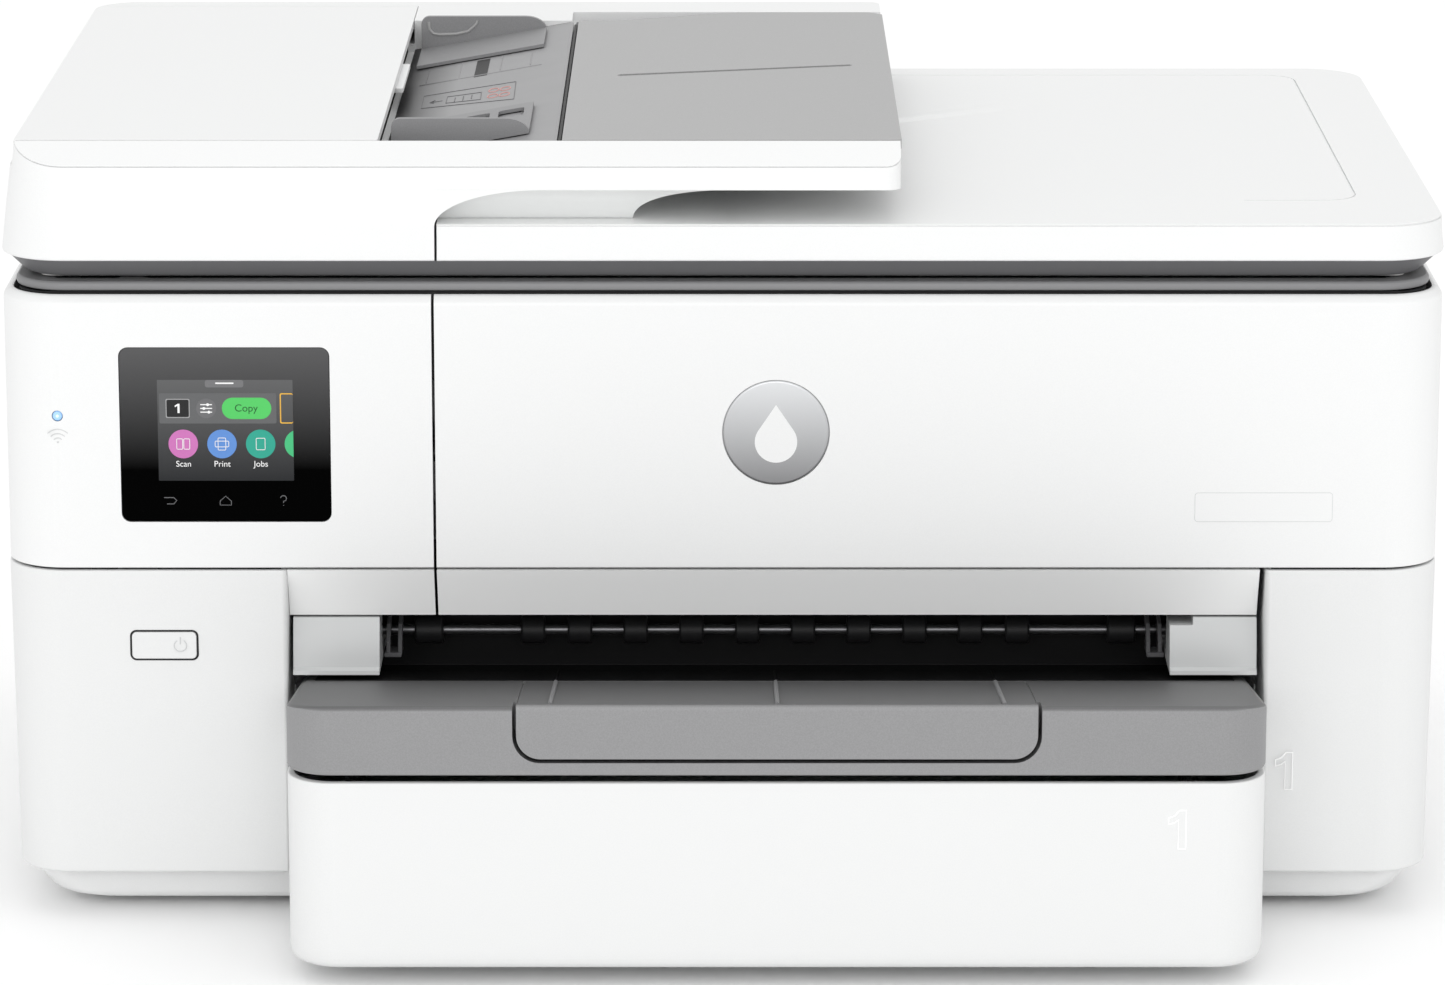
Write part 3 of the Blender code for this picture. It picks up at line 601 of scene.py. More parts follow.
def make_power_button():
    across, depth, height = spans("power_button")
    cap = prism("power_button_cap", node_outline("power_button", 0.0016), "Y",
                (depth[0] + 0.0002, depth[1]))
    ease_edges(cap, 0.0004)
    # The button wears the white with painted shade.
    settle(cap, "power_button_body", LOWER_WHITE_PAINTED_SHADE, ("power_button",))
    x, z = across[1] - 0.0055, sum(height) / 2
    lines = [arc((x, z), 0.0021, 125, 415, 20), [(x, z + 0.0005), (x, z + 0.0030)]]
    icon = gather("power_icon", [tube("icon_line", upright(line, depth[0] + 0.0001), 0.00018)
                                 for line in lines])
    settle(icon, "power_button_body", PALE_GREY)
    rim = tube("power_button_rim", upright(node_outline("power_button", 0.0019, 0.0004), 0.0004),
               0.00035, closed=True)
    settle(rim, "printer_body", DARK)


def make_rear_sockets():
    """The mains inlet with its two pins, and the data ports with two mouths."""
    across, depth, height = spans("power_inlet")
    x, z = sum(across) / 2, sum(height) / 2
    inlet = block("mains_inlet", across, depth, height, 0.0010, 0.0004)
    mouth = rounded_outline(grow((x, x), 0.0082), grow((z, z), 0.0042), 0.0041)
    carve(inlet, prism("mouth", mouth, "Y", (depth[0] + 0.004, depth[1] + 0.01)))
    for pin in (x - 0.0040, x + 0.0040):
        fuse(inlet, cylinder("pin", "Y", (pin, z), grow(depth, -0.003), 0.0012, 16))
    settle(inlet, "printer_body", INK_BLACK, ("power_inlet",))
    across, depth, height = spans("data_ports")
    ports = block("data_port_block", across, depth, height, 0.0010, 0.0004)
    for mouth in (((0.1980, 0.2070), (0.0345, 0.0435)), ((0.2100, 0.2220), (0.0335, 0.0445))):
        carve(ports, prism("mouth", rounded_outline(*mouth, 0.0008), "Y",
                           (depth[0] + 0.004, depth[1] + 0.01)))
    settle(ports, "printer_body", DARK, ("data_ports",))


# Paper exit

LIP_BOTTOM, LIP_TOP = span_of("canopy_lip", "Z")
# How far the canopy's plate slants back, and the exit shaft's depth and height.
LIP_REACH = 0.0095
EXIT_AXIS = (0.0450, 0.0903)


def make_lip(name, across, body, node):
    """A slanted canopy plate, slightly hollow, with a bright rolled edge along its foot; its white
    is painted light, lighter than the housing's, to make up for the shade under the canopy.
    """
    points = bowed((0.0001, LIP_TOP), (0.0001 + LIP_REACH, LIP_BOTTOM + 0.0006), 0.0004, 6)
    points += [(LIP_REACH + 0.0003, LIP_BOTTOM + 0.0001), (LIP_REACH + 0.0010, LIP_BOTTOM),
               (LIP_REACH + 0.0019, LIP_BOTTOM), (0.0025, LIP_TOP)]
    plate = prism(name, points, "X", across)
    settle(plate, body, LIP_PAINTED_LIGHT, (node,))


def make_exit_blocks():
    """Cheeks of the paper exit: a hollowed face over a small ledge, bored for the shaft."""
    for side, outward in (("left", -1), ("right", 1)):
        node = f"exit_block_{side}"
        across, (front, back), (low, high) = spans(node)
        face = [(front, low), (front + 0.0002, low + 0.0014)]
        face += bowed((front + 0.0018, low + 0.0022), (front + 0.0053, high), -0.0006, 6)
        cheek = prism(f"exit_cheek_{side}", face + [(back, high), (back, low)], "X", across)
        inner = across[1] if side == "left" else across[0]
        pocket = sorted((inner - outward * 0.01, inner + outward * 0.0085))
        carve(cheek, block("pocket", pocket, (0.0250, 0.0600), (low + 0.0030, high + 0.01)),
              cylinder("bore", "X", (span_of("output_roller", "Y")[0] + 0.0057, EXIT_AXIS[1]),
                       grow(across, 0.01), 0.0031, 24))
        if side == "right":
            carve(cheek, block("notch", (across[0] - 0.01, across[0] + 0.0080),
                               (-0.01, 0.0600), (high - 0.0026, high + 0.01)))
        ease_edges(cheek, 0.0004)
        settle(cheek, "printer_body", PALE_GREY, (node,))
        make_shaft_bracket(side, inner, outward)


def make_shaft_bracket(side, inner, outward):
    """Small grey carriers for the sheet's guides at each end of the paper exit."""
    outline = [(0.0270, 0.0860), (0.0270, 0.0905), (0.0310, 0.0960), (0.0400, 0.0985),
               (0.0400, 0.0950), (0.0345, 0.0930), (0.0345, 0.0860)]
    pieces = []
    for reach in (0.0012, 0.0052):
        across = sorted((inner - outward * (reach + 0.0014), inner - outward * reach))
        pieces.append(prism("plate", outline, "X", across))
    across = sorted((inner - outward * 0.0064, inner - outward * 0.0004))
    pieces.append(block("foot", across, (0.0265, 0.0350), (0.0851, 0.0868)))
    bracket = gather(f"shaft_bracket_{side}", pieces)
    ease_edges(bracket, 0.0002)
    settle(bracket, "printer_body", SHADE_GREY)


def make_exit_baffle():
    """A sheet that closes the room between the tray, the platen and the drawer below; its black is
    painted shade that keeps the slot dark.
    """
    points = [(0.0353, 0.0736), (0.0601, 0.0726), (0.0601, 0.0848), (0.0591, 0.0848),
              (0.0591, 0.0736), (0.0353, 0.0746)]
    baffle = prism("exit_baffle", points, "X", (-0.1390, 0.1770))
    ease_edges(baffle, 0.0002)
    settle(baffle, "printer_body", INK_BLACK)


def make_output_roller():
    """A shaft with short ribbed rollers; sleeves between them are left to show dark."""
    low, high = span_of("output_roller", "X")
    middle, pitch, outer, big = 0.0182, 0.0194, 0.0842, 0.1204
    places = [(middle + side * big, 0.0100) for side in (-1, 1)]
    places += [(middle + side * outer, 0.0085) for side in (-1, 1)]
    places += [(middle + side * (step + 0.5) * pitch, 0.0085)
               for side in (-1, 1) for step in range(4)]
    profile = [(low, 0.0014), (low + 0.0004, 0.0018), (-0.1560, 0.0018), (-0.1560, 0.0056),
               (-0.1557, 0.0060), (-0.1533, 0.0060), (-0.1530, 0.0056), (-0.1530, 0.0018)]
    for centre, width in sorted(places):
        start, end = centre - width / 2, centre + width / 2
        profile += [(start, 0.0018), (start, 0.0042), (start + 0.0007, 0.0049)]
        profile += [(start + 0.0007 + (width - 0.0014) * k / 4, 0.0050 if k % 2 else 0.0048)
                    for k in range(1, 4)]
        profile += [(end - 0.0007, 0.0049), (end, 0.0042), (end, 0.0018)]
    profile += [(high - 0.0004, 0.0018), (high, 0.0014)]
    roller = turned("output_roller_row", "X", EXIT_AXIS, profile, 32)
    settle(roller, "output_roller_body", DARK, ("output_roller",))
    core = cylinder("output_roller_core", "X", EXIT_AXIS, (low + 0.0010, high - 0.0010), 0.00186,
                    24, 0.0002)
    settle(core, "output_roller_body", DARK_STEEL)


# Upper storey

UPPER_LOW, UPPER_HIGH = span_of("upper_housing", "Z")
UPPER_OUT = span_of("upper_housing", "X")[1]
# How far the ink door reaches round the right corner.
DOOR_WRAP = 0.0200


def upper_section(wall):
    """Upright face, a slanted and eased brow at the top, and a flat landing behind it."""
    foot = arc((TOP_ROUND, UPPER_LOW + TOP_ROUND), TOP_ROUND, 270, 180)
    brow = [(0.0, UPPER_HIGH - 0.0034), (0.00006, UPPER_HIGH - 0.0028),
            (0.0003, UPPER_HIGH - 0.0021), (0.0018, UPPER_HIGH - 0.0006),
            (0.0023, UPPER_HIGH - 0.0002), (0.0029, UPPER_HIGH)]
    return foot + brow + [(wall + 0.0004, UPPER_HIGH), (wall, UPPER_HIGH - 0.0030),
                          (wall, UPPER_LOW)]


def make_upper_housing():
    path = plan_path([
        (SPLIT_LEFT, 0.0, 0), (-UPPER_OUT, 0.0, BODY_CORNER),
        (-UPPER_OUT, BODY_BACK, BODY_CORNER), (UPPER_OUT, BODY_BACK, BODY_CORNER),
        (UPPER_OUT, DOOR_WRAP + 0.0006, 0)])
    shell = sweep("upper_housing_shell", path, upper_section(0.0030))
    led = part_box("status_light")[0]
    door_across, _, door_height = spans("rear_door")
    carve(shell,
          prism("hole", node_outline("screen_bezel", 0.0032, 0.0002), "Y", FRONT_WALL),
          cylinder("hole", "Y", (led.x + 0.0017, led.z + 0.0017), FRONT_WALL, 0.0019, 32),
          prism("hole", rounded_outline(grow(door_across, 0.0004), grow(door_height, 0.0005),
                                        0.0030), "Y", BACK_WALL))
    settle(shell, "printer_body", WHITE, ("upper_housing",))
    make_side_grip()


def make_side_grip():
    """Finger grooves under the lid's edge on both sides of the upper housing."""
    for side, x in (("left", -UPPER_OUT - 0.0001), ("right", UPPER_OUT + 0.0001)):
        ridges = [tube("ridge", [(x, FRONT + d, z) for d in (0.070, 0.130)], 0.0003)
                  for z in (0.1960, 0.2025, 0.2090)]
        settle(gather(f"side_grip_{side}", ridges), "printer_body", WHITE)


def make_ink_door():
    path = plan_path([(UPPER_OUT, DOOR_WRAP, 0), (UPPER_OUT, 0.0, BODY_CORNER - 0.0006),
                      (SPLIT_RIGHT, 0.0, 0)])
    door = sweep("ink_door_panel", path, upper_section(0.0031))
    badge_low, badge_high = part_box("badge")
    centre = (badge_low + badge_high) / 2
    radius = (badge_high.x - badge_low.x) / 2
    plate_outline = node_outline("nameplate", 0.0010)
    seat = (-0.01, 0.0011)
    carve(door, cylinder("seat", "Y", (centre.x, centre.z), seat, radius + 0.0002, 96),
          prism("seat", plate_outline, "Y", seat))
    settle(door, "ink_door_body", WHITE, ("ink_door",))
    make_badge(centre, radius, badge_low)
    plate = prism("blank_nameplate", plate_outline, "Y", (-0.00012, 0.0010))
    ease_edges(plate, 0.0001)
    settle(plate, "ink_door_body", WHITE, ("nameplate",))
    # A grey line round the plate: painted shade along its raised edge.
    rim = tube("nameplate_rim", upright(plate_outline, -0.00002), 0.00012, closed=True)
    settle(rim, "ink_door_body", PALE_GREY)
    make_door_inside()


def make_badge(centre, radius, low):
    """A round brushed badge with a plain ink drop standing on it; the badge's colour is a painted
    reflection, dark at its foot and bright at its top.
    """
    face = depth_of(low.y) + 0.0001
    disc = turned("round_badge", "Y", (centre.x, centre.z), [
        (face, radius - 0.0007), (face + 0.0001, radius - 0.0003), (face + 0.0004, radius),
        (0.0009, radius)], 96)
    settle(disc, "ink_door_body", BADGE_PAINTED_REFLECTION, ("badge",))
    base = centre.z - radius * 0.18
    points = arc((centre.x, base), radius * 0.40, 150, 390, 28)
    points.append((centre.x, base + radius * 0.66 + 0.0010))
    drop = prism("badge_drop", points, "Y", (face - 0.00008, face + 0.0003))
    settle(drop, "ink_door_body", WHITE)


def make_door_inside():
    """Stiffening ribs on the inner side of the ink door."""
    half = 0.0006
    pieces = [block("rib", (x - half, x + half), (0.0030, 0.0048),
                    (UPPER_LOW + 0.006, UPPER_HIGH - 0.010))
              for x in [-0.085 + index * 0.050 for index in range(7)]]
    pieces += [block("rib", (-0.090, 0.222), (0.0030, 0.0044), (z - half, z + half))
               for z in (UPPER_LOW + 0.020, UPPER_HIGH - 0.030)]
    settle(gather("ink_door_ribs", pieces), "ink_door_body", OFF_WHITE)


# Control panel

# The lit picture's sides, its foot and top, and the step between its printed layers.
PICTURE = ((-0.1911, -0.1453), (0.1543, 0.1893))
LAYER_GAP = 0.00003


def make_bezel():
    depth, glass_depth = span_of("screen_bezel", "Y"), span_of("touch_display", "Y")
    glass_outline = node_outline("touch_display", 0.0006)
    bezel = prism("control_bezel", node_outline("screen_bezel", 0.0030, steps=8), "Y", depth)
    ease_edges(bezel, 0.0003)
    carve(bezel, prism("room", glass_outline, "Y", (-0.01, 0.0033)))
    # Painted reflection on the bezel and the display's glass: black towards the bottom, grey
    # towards the top.
    settle(bezel, "printer_body", BEZEL_PAINTED_REFLECTION, ("screen_bezel",))
    glass = prism("display_glass", glass_outline, "Y", (depth[0], glass_depth[1]))
    settle(glass, "printer_body", BEZEL_PAINTED_REFLECTION, ("touch_display",))
    make_screen_picture(depth[0])
    make_status_light()


def lit(name, colour):
    """Print that glows a little, as on a lit display."""
    return flat_finish(name, colour, 0.30, specular=0.3, glow=0.04)


def flat_patch(name, outline, layer, material, face):
    """A thin printed or lit shape just in front of the display's glass."""
    front = face - LAYER_GAP * layer
    patch = prism(f"picture_{name}", outline, "Y", (front - 0.00002, front))
    settle(patch, "printer_body", material)


def words(name, text, centre, size, material, layer, face):
    """A generic word on the display, as flat letters."""
    curve = bpy.data.curves.new(name, "FONT")
    curve.body = text
    curve.size = size
    curve.align_x = "CENTER"
    curve.align_y = "CENTER"
    item = meshed(name, curve)
    place = (centre[0], FRONT + face - LAYER_GAP * (layer + 1), centre[1])
    item.data.transform(Matrix.Translation(place) @ Matrix.Rotation(math.radians(90), 4, "X"))
    item.data.materials.append(material)
    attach(item, "printer_body")


def make_screen_picture(face):
    """The lit picture: a copy bar above a row of round buttons, and faint keys below; its ground
    is a painted reflection, lighter towards the top.
    """
    (x0, x1), (z0, z1) = PICTURE
    # Painted reflection: the display's ground is darker at its foot and lighter at its top.
    reflected_ground = graded("picture_painted_reflection", (0.026, 0.027, 0.029), (0.118, 0.119, 0.121), z0, z1, 0.30,
                  specular=0.04)
    ink = lit("picture_white", (0.80, 0.80, 0.80))
    faint = lit("picture_faint", (0.13, 0.13, 0.135))
    bar = (z1 - 0.0151, z1 - 0.0046)
    middle = sum(bar) / 2
    card = x0 + 0.0414
    count_across = (x0 + 0.0028, x0 + 0.0109)
    one = [(-0.0001, -0.0016), (0.0006, -0.0016), (0.0006, 0.0016), (0.0, 0.0016),
           (-0.0010, 0.0010), (-0.0010, 0.0004), (-0.0001, 0.0009)]
    patches = [
        ("ground", rounded_outline((x0, x1), (z0, z1), 0.0003), 0, reflected_ground),
        ("handle_ground", rounded_outline((x0 + 0.0162, x0 + 0.0292), (z1 - 0.0026, z1), 0.0008),
         1, lit("picture_handle_grey", (0.15, 0.15, 0.155))),
        ("handle", rounded_outline((x0 + 0.0197, x0 + 0.0259), (z1 - 0.0014, z1 - 0.0009),
                                   0.0002), 2, ink),
        ("bar", rounded_outline((x0 + 0.0006, card - 0.0012), bar, 0.0006), 1,
         lit("picture_bar", (0.105, 0.107, 0.11))),
        ("count_edge", rounded_outline(count_across, grow((middle, middle), 0.0033), 0.0005), 2,
         lit("picture_line_grey", (0.33, 0.33, 0.335))),
        ("count", rounded_outline(grow(count_across, -0.0003), grow((middle, middle), 0.0030),
                                  0.0005), 3, lit("picture_black", (0.008, 0.008, 0.009))),
        ("count_digit", [(x0 + 0.0069 + x, middle + z) for x, z in one], 4, ink),
        ("settings_ground", circle((x0 + 0.0165, middle), 0.0034), 2, faint)]
    for row, shift in enumerate((0.0009, -0.0008, 0.0005)):
        z = middle + (row - 1) * 0.0013
        patches += [(f"slider_{row}", rounded_outline((x0 + 0.0145, x0 + 0.0185),
                                                      grow((z, z), 0.00018), 0.0001), 3, ink),
                    (f"slider_knob_{row}", circle((x0 + 0.0165 + shift, z), 0.0005, 16), 4, ink)]
    patches.append(("copy", rounded_outline((x0 + 0.0218, x0 + 0.0385),
                                            grow((middle, middle), 0.0037), 0.0036), 2,
                    lit("picture_green", (0.075, 0.52, 0.11))))
    for patch in patches:
        flat_patch(*patch, face)
    words("picture_copy_word", "Copy", (x0 + 0.0300, middle), 0.0036,
          lit("picture_dark_green", (0.010, 0.10, 0.022)), 3, face)
    flat_patch("edge_card", rounded_outline((card, x1), bar, 0.0006), 2,
               lit("picture_amber", (0.75, 0.42, 0.05)), face)
    flat_patch("edge_card_inside",
               rounded_outline((card + 0.0004, x1), grow(bar, -0.0004), 0.0004), 3, reflected_ground, face)
    make_round_buttons(x0, x1, z1 - 0.0222, ink, face)
    make_key_marks(faint, face)


def make_round_buttons(x0, x1, z, ink, face):
    """Round menu buttons with a small pictogram and a plain word below each."""
    first, pitch, radius = x0 + 0.0085, 0.0131, 0.0050
    buttons = (("scan", (0.52, 0.15, 0.41), ((-0.0022, -0.0002, 0.0018),
                                             (0.0002, 0.0022, 0.0018))),
               ("print", (0.10, 0.24, 0.58), ((-0.0023, 0.0023, 0.0010),
                                              (-0.0013, 0.0013, 0.0021))),
               ("jobs", (0.02, 0.33, 0.24), ((-0.0015, 0.0015, 0.0020),)))
    for index, (word, colour, frames) in enumerate(buttons):
        x = first + index * pitch
        flat_patch(f"{word}_button", circle((x, z), radius), 2, lit(f"picture_{word}", colour),
                   face)
        words(f"picture_{word}_word", word.capitalize(), (x, z - 0.0070), 0.0029, ink, 2, face)
        for number, (left, right, reach) in enumerate(frames):
            outline = rounded_outline((x + left, x + right), grow((z, z), reach), 0.0003, 2)
            mark = tube(f"picture_{word}_mark_{number}", upright(outline, face - 0.00015),
                        0.00013, closed=True)
            settle(mark, "printer_body", ink)
    edge = [point for point in circle((first + 3 * pitch, z), radius, 60) if point[0] < x1]
    flat_patch("edge_button", edge, 2, lit("picture_edge", (0.05, 0.45, 0.18)), face)


def make_key_marks(faint, face):
    """Back, home and help marks under the picture, as thin engraved lines."""
    z = 0.1472
    help_x = -0.1490
    marks = {
        "back": [(-0.1895, z + 0.0012), (-0.1862, z + 0.0012), (-0.1852, z + 0.0002),
                 (-0.1862, z - 0.0010), (-0.1885, z - 0.0010)],
        "home": [(-0.1705, z), (-0.1686, z + 0.0017), (-0.1667, z), (-0.1667, z - 0.0014),
                 (-0.1705, z - 0.0014), (-0.1705, z)],
        "help": arc((help_x, z + 0.0009), 0.0010, 170, -50, 10) + [(help_x, z - 0.0001),
                                                                  (help_x, z - 0.0006)],
        "help_dot": [(help_x, z - 0.0014), (help_x, z - 0.0016)]}
    for name, line in marks.items():
        mark = tube(f"key_mark_{name}", upright(line, face + 0.00002), 0.00016)
        settle(mark, "printer_body", faint)


def make_status_light():
    """The lamp beside the screen, with a brighter core, and raised arcs for the radio link below,
    in grey as painted shade.
    """
    low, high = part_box("status_light")
    middle = (low + high) / 2
    centre = (middle.x, middle.z)
    radius = (high.x - low.x) / 2
    lens = turned("status_lens", "Y", centre, [
        (0.00005, radius * 0.4), (0.0002, radius * 0.8), (0.0006, radius),
        (depth_of(high.y), radius)], 40)
    settle(lens, "printer_body", lit("status_glow", (0.38, 0.62, 0.95)),
           ("status_light",))
    core = turned("status_core", "Y", centre, [
        (0.0, radius * 0.1), (0.00003, radius * 0.3), (0.0002, radius * 0.42)], 24)
    settle(core, "printer_body", lit("status_core_glow", (0.75, 0.92, 1.0)))
    # The arcs' grey is painted shade of raised white arcs.
    arcs = [tube("arc", upright(arc((middle.x, middle.z - 0.0094), reach, 45, 135, 12), 0.00005),
                 width)
            for reach, width in ((0.0003, 0.00030), (0.0018, 0.00018), (0.0033, 0.00018),
                                 (0.0048, 0.00018))]
    settle(gather("signal_arcs", arcs), "printer_body", PALE_GREY)


# Scanner under the lid

def make_scanner():
    across, depth, (low, high) = spans("scanner_frame")
    section = [(0.0008, low), (0.0002, low + 0.0003), (0.0, low + 0.0008),
               (0.0, high - 0.0009), (0.0003, high - 0.0004), (0.0009, high)]
    bed = slab("scanner_bed", across, depth, section, 0.0180, 10)
    for opening, radius in (((-0.1960, 0.2260), 0.0030), ((-0.2260, -0.2040), 0.0015)):
        carve(bed, block("opening", opening, (0.0120, 0.3030), grow((low, high), 0.01), radius,
                         0.0001, 4))
    settle(bed, "printer_body", BAND_GREY, ("scanner_frame",))
    for node, name in (("scanner_glass", "platen_glass"), ("feeder_scan_glass", "strip_glass")):
        pane = block(name, *spans(node), 0.0010, 0.0003)
        settle(pane, "printer_body", GLASS, (node,))
    mark = prism("corner_mark", [(-0.2020, 0.3052), (-0.1985, 0.3040), (-0.1985, 0.3064)], "Z",
                 (high - 0.0001, high + 0.00008))
    settle(mark, "printer_body", OFF_WHITE)
    make_scan_bar()


def make_scan_bar():
    across, depth, height = spans("scan_bar")
    bar = block("scan_bar_housing", across, depth, (height[0], height[1] - 0.0012), 0.0030,
                0.0010, 4)
    window = block("window", (across[0] + 0.0040, across[0] + 0.0120), grow(depth, -0.0080),
                   (height[1] - 0.0030, height[1] + 0.01), 0.0012)
    carve(bar, window)
    feet = [block("foot", (across[0] + 0.006, across[1] - 0.006),
                  (d, d + 0.008), (height[1] - 0.0013, height[1]), 0.002, 0.0003)
            for d in (depth[0] + 0.001, depth[1] - 0.009)]
    settle(fuse(bar, *feet), "scan_bar_body", INK_BLACK, ("scan_bar",))
    lens = block("scan_lens", (across[0] + 0.0042, across[0] + 0.0118), grow(depth, -0.0082),
                 (height[1] - 0.0032, height[1] - 0.0018), 0.0010)
    settle(lens, "scan_bar_body", OFF_WHITE)


# Lid

LID_LOW, LID_HIGH = span_of("lid_shell", "Z")
LID_DEPTH = span_of("lid_shell", "Y")
SKIRT_LOW = LID_LOW + 0.0014
LID_CORNER = 0.0225
# The fine gap between the feeder's housing and the lid's cover.
NOTCH = (-0.0970, -0.0962)
# Heights of the openings for the hinges, and the hinges' depth and height.
HINGE_ROOM = (0.21, 0.2315)
HINGE_AXIS = (0.3140, 0.2265)
# (further inset, distance below the top) points of the line round the lid's top edge.
EDGE_LINE = ((0.0001, 0.0009), (0.0006, 0.0008), (0.0006, 0.0004), (0.0002, 0.0003),
             (0.0004, 0.0001), (0.0007, 0.0))


def shrink(radii, inset):
    """Corner radii of a ring drawn in by an inset; the sharp corners stay sharp."""
    return tuple(max(r - inset, 0.0003) if r > 0.001 else r for r in radii)


def lid_rings(across, depth, radii):
    """Rings of the lid's skirt: a soft lower edge, a slight draft, and a fine line at its top."""
    steps = [(0.0007, SKIRT_LOW), (0.0002, SKIRT_LOW + 0.0003), (0.0, SKIRT_LOW + 0.0010),
             (0.0006, LID_HIGH - 0.0060), (0.0008, LID_HIGH - 0.0011)]
    steps += [(0.0008 + further, LID_HIGH - down) for further, down in EDGE_LINE]
    return [ring((across[0], across[1] - inset), grow(depth, -inset), shrink(radii, inset), z, 12)
            for inset, z in steps]


def make_lid_cover():
    """The part of the lid to the right of the feeder, with its shallow inset panel."""
    small = 0.0004
    cover = loft("lid_cover", lid_rings((NOTCH[1], OUTER), LID_DEPTH,
                                        (small, LID_CORNER, LID_CORNER, small)))
    carve(cover, block("room", (NOTCH[1] + 0.0020, OUTER - 0.0035),
                       grow(LID_DEPTH, -0.0035), (LID_LOW - 0.01, LID_HIGH - 0.0030), 0.0180,
                       0.0002, 8))
    for x in (0.1485, 0.1915):
        carve(cover, block("notch", (x - 0.006, x + 0.0065), (0.3050, 0.33), HINGE_ROOM))
    panel_across, panel_depth = (-0.0700, 0.2180), (0.0440, 0.2980)
    line = 0.0006
    through = (LID_HIGH - 0.01, LID_HIGH + 0.02)
    groove = prism("groove", rounded_outline(panel_across, panel_depth,
                                             (0.002, 0.012, 0.012, 0.002), 8), "Z",
                   (LID_HIGH - line, LID_HIGH + 0.01))
    inside = rounded_outline(grow(panel_across, -line), grow(panel_depth, -line),
                             (0.002, 0.0114, 0.0114, 0.002), 8)
    carve(groove, prism("inside", inside, "Z", through),
          block("blank", (-0.1000, 0.1786), (0.0430, 0.0460), through))
    carve(cover, groove)
    settle(cover, "lid", WHITE, ("lid_shell",))
    make_valley()


def make_valley():
    """A soft fold that fades out across the lid, where sheets come to rest beside the arm."""
    length, width, crest = 0.0640, 0.0300, 0.0016
    columns, rows = 28, 12
    vertices, faces = [], []
    for i in range(columns + 1):
        along = i / columns
        start = 0.1950 + 0.0520 * along
        spread = width * (0.30 + 0.70 * along)
        height = crest * (1 - along) ** 1.4
        for j in range(rows + 1):
            share = j / rows
            rise = height * math.sin(math.pi * share ** 0.7) ** 2
            vertices.append((0.0600 + length * along, FRONT + start + spread * (share - 0.5),
                             LID_HIGH - 0.00005 + rise))
            if i < columns and j < rows:
                a = i * (rows + 1) + j
                faces.append((a, a + rows + 1, a + rows + 2, a + 1))
    fold = new_object("lid_fold", mesh_from("lid_fold", vertices, faces))
    backing = fold.modifiers.new("thick", "SOLIDIFY")
    backing.thickness = 0.0004
    backing.offset = -1
    settle(bake(fold), "lid", WHITE)


def make_lid_underside():
    across, depth, (low, _) = spans("lid_underside")
    high = SKIRT_LOW - 0.0001
    section = [(0.0080, low), (0.0072, low + 0.0002), (0.0064, low + 0.0008),
               (0.0012, high - 0.0006), (0.0006, high)]
    plate = slab("lid_inner_plate", across, depth, section, 0.0230, 10)
    mat_across, mat_depth, (mat_low, mat_high) = spans("lid_mat")
    carve(plate, block("room", grow(mat_across, 0.0004), grow(mat_depth, 0.0004),
                       (low - 0.01, mat_high + 0.0002), 0.0040, 0.0002, 4))
    for x in (-0.1700, 0.1700):
        carve(plate, block("notch", (x - 0.020, x + 0.020), (0.3075, 0.33), (0.21, 0.24)))
    settle(plate, "lid", SHADE_GREY, ("lid_underside",))
    section = [(0.0020, mat_low), (0.0008, mat_low + 0.0003), (0.0001, mat_low + 0.0012),
               (0.0, mat_high)]
    mat = slab("lid_foam_mat", mat_across, mat_depth, section, 0.0040, 6)
    settle(mat, "lid", FOAM, ("lid_mat",))


def make_lid_hinges():
    """Knuckles with two fine gaps each, on a leaf that stands on the housing."""
    for side in ("left", "right"):
        node = f"lid_hinge_{side}"
        across, _, (low, _) = spans(node)
        profile = [(across[0], 0.0016), (across[0] + 0.0005, 0.0021)]
        for index in range(3):
            start = across[0] + 0.0005 + index * 0.0097
            profile += [(start + 0.0090, 0.0021), (start + 0.0090, 0.0017),
                        (start + 0.0096, 0.0017), (start + 0.0096, 0.0021)]
        profile += [(across[1] - 0.0004, 0.0021), (across[1], 0.0016)]
        knuckle = turned(f"hinge_knuckle_{side}", "X", HINGE_AXIS, profile, 24)
        fuse(knuckle, block("leaf", grow(across, -0.0022), grow((HINGE_AXIS[0],) * 2, 0.0012),
                            (low, HINGE_AXIS[1]), 0.0008))
        settle(knuckle, "printer_body", DARK_STEEL, (node,))


# Sheet feeder

FEEDER_HIGH = span_of("feeder_base", "Z")[1]
ARM_END = span_of("feeder_base", "X")[1]
FEEDER_BACK = span_of("feeder_base", "Y")[1]
# Depths of the front and back edges of what is let into the feeder's top, and of its floor.
RIM_DEPTH = 0.0163
RIM_BACK = 0.3017
FLOOR_BACK = 0.2672
# The grey floor climbs from the cover's edge to its own right end.
COVER_EDGE = -0.1162
FLOOR_END = -0.0558
FLOOR_LOW = 0.2572
FLOOR_HIGH = 0.2680
# How far the floor's sheet, and the marks on it, stand above that climb.
FLOOR_LIFT = 0.00030
PRINT_LIFT = FLOOR_LIFT + 0.00005
# Heights of the arm's underside and of the crease below the sloping front band.
ARM_BOTTOM = 0.2539
BROW = 0.2622
# Depths of the thin seams along the front edge.
SEAM_DEPTH = (RIM_DEPTH - 0.0004, RIM_DEPTH + 0.0001)


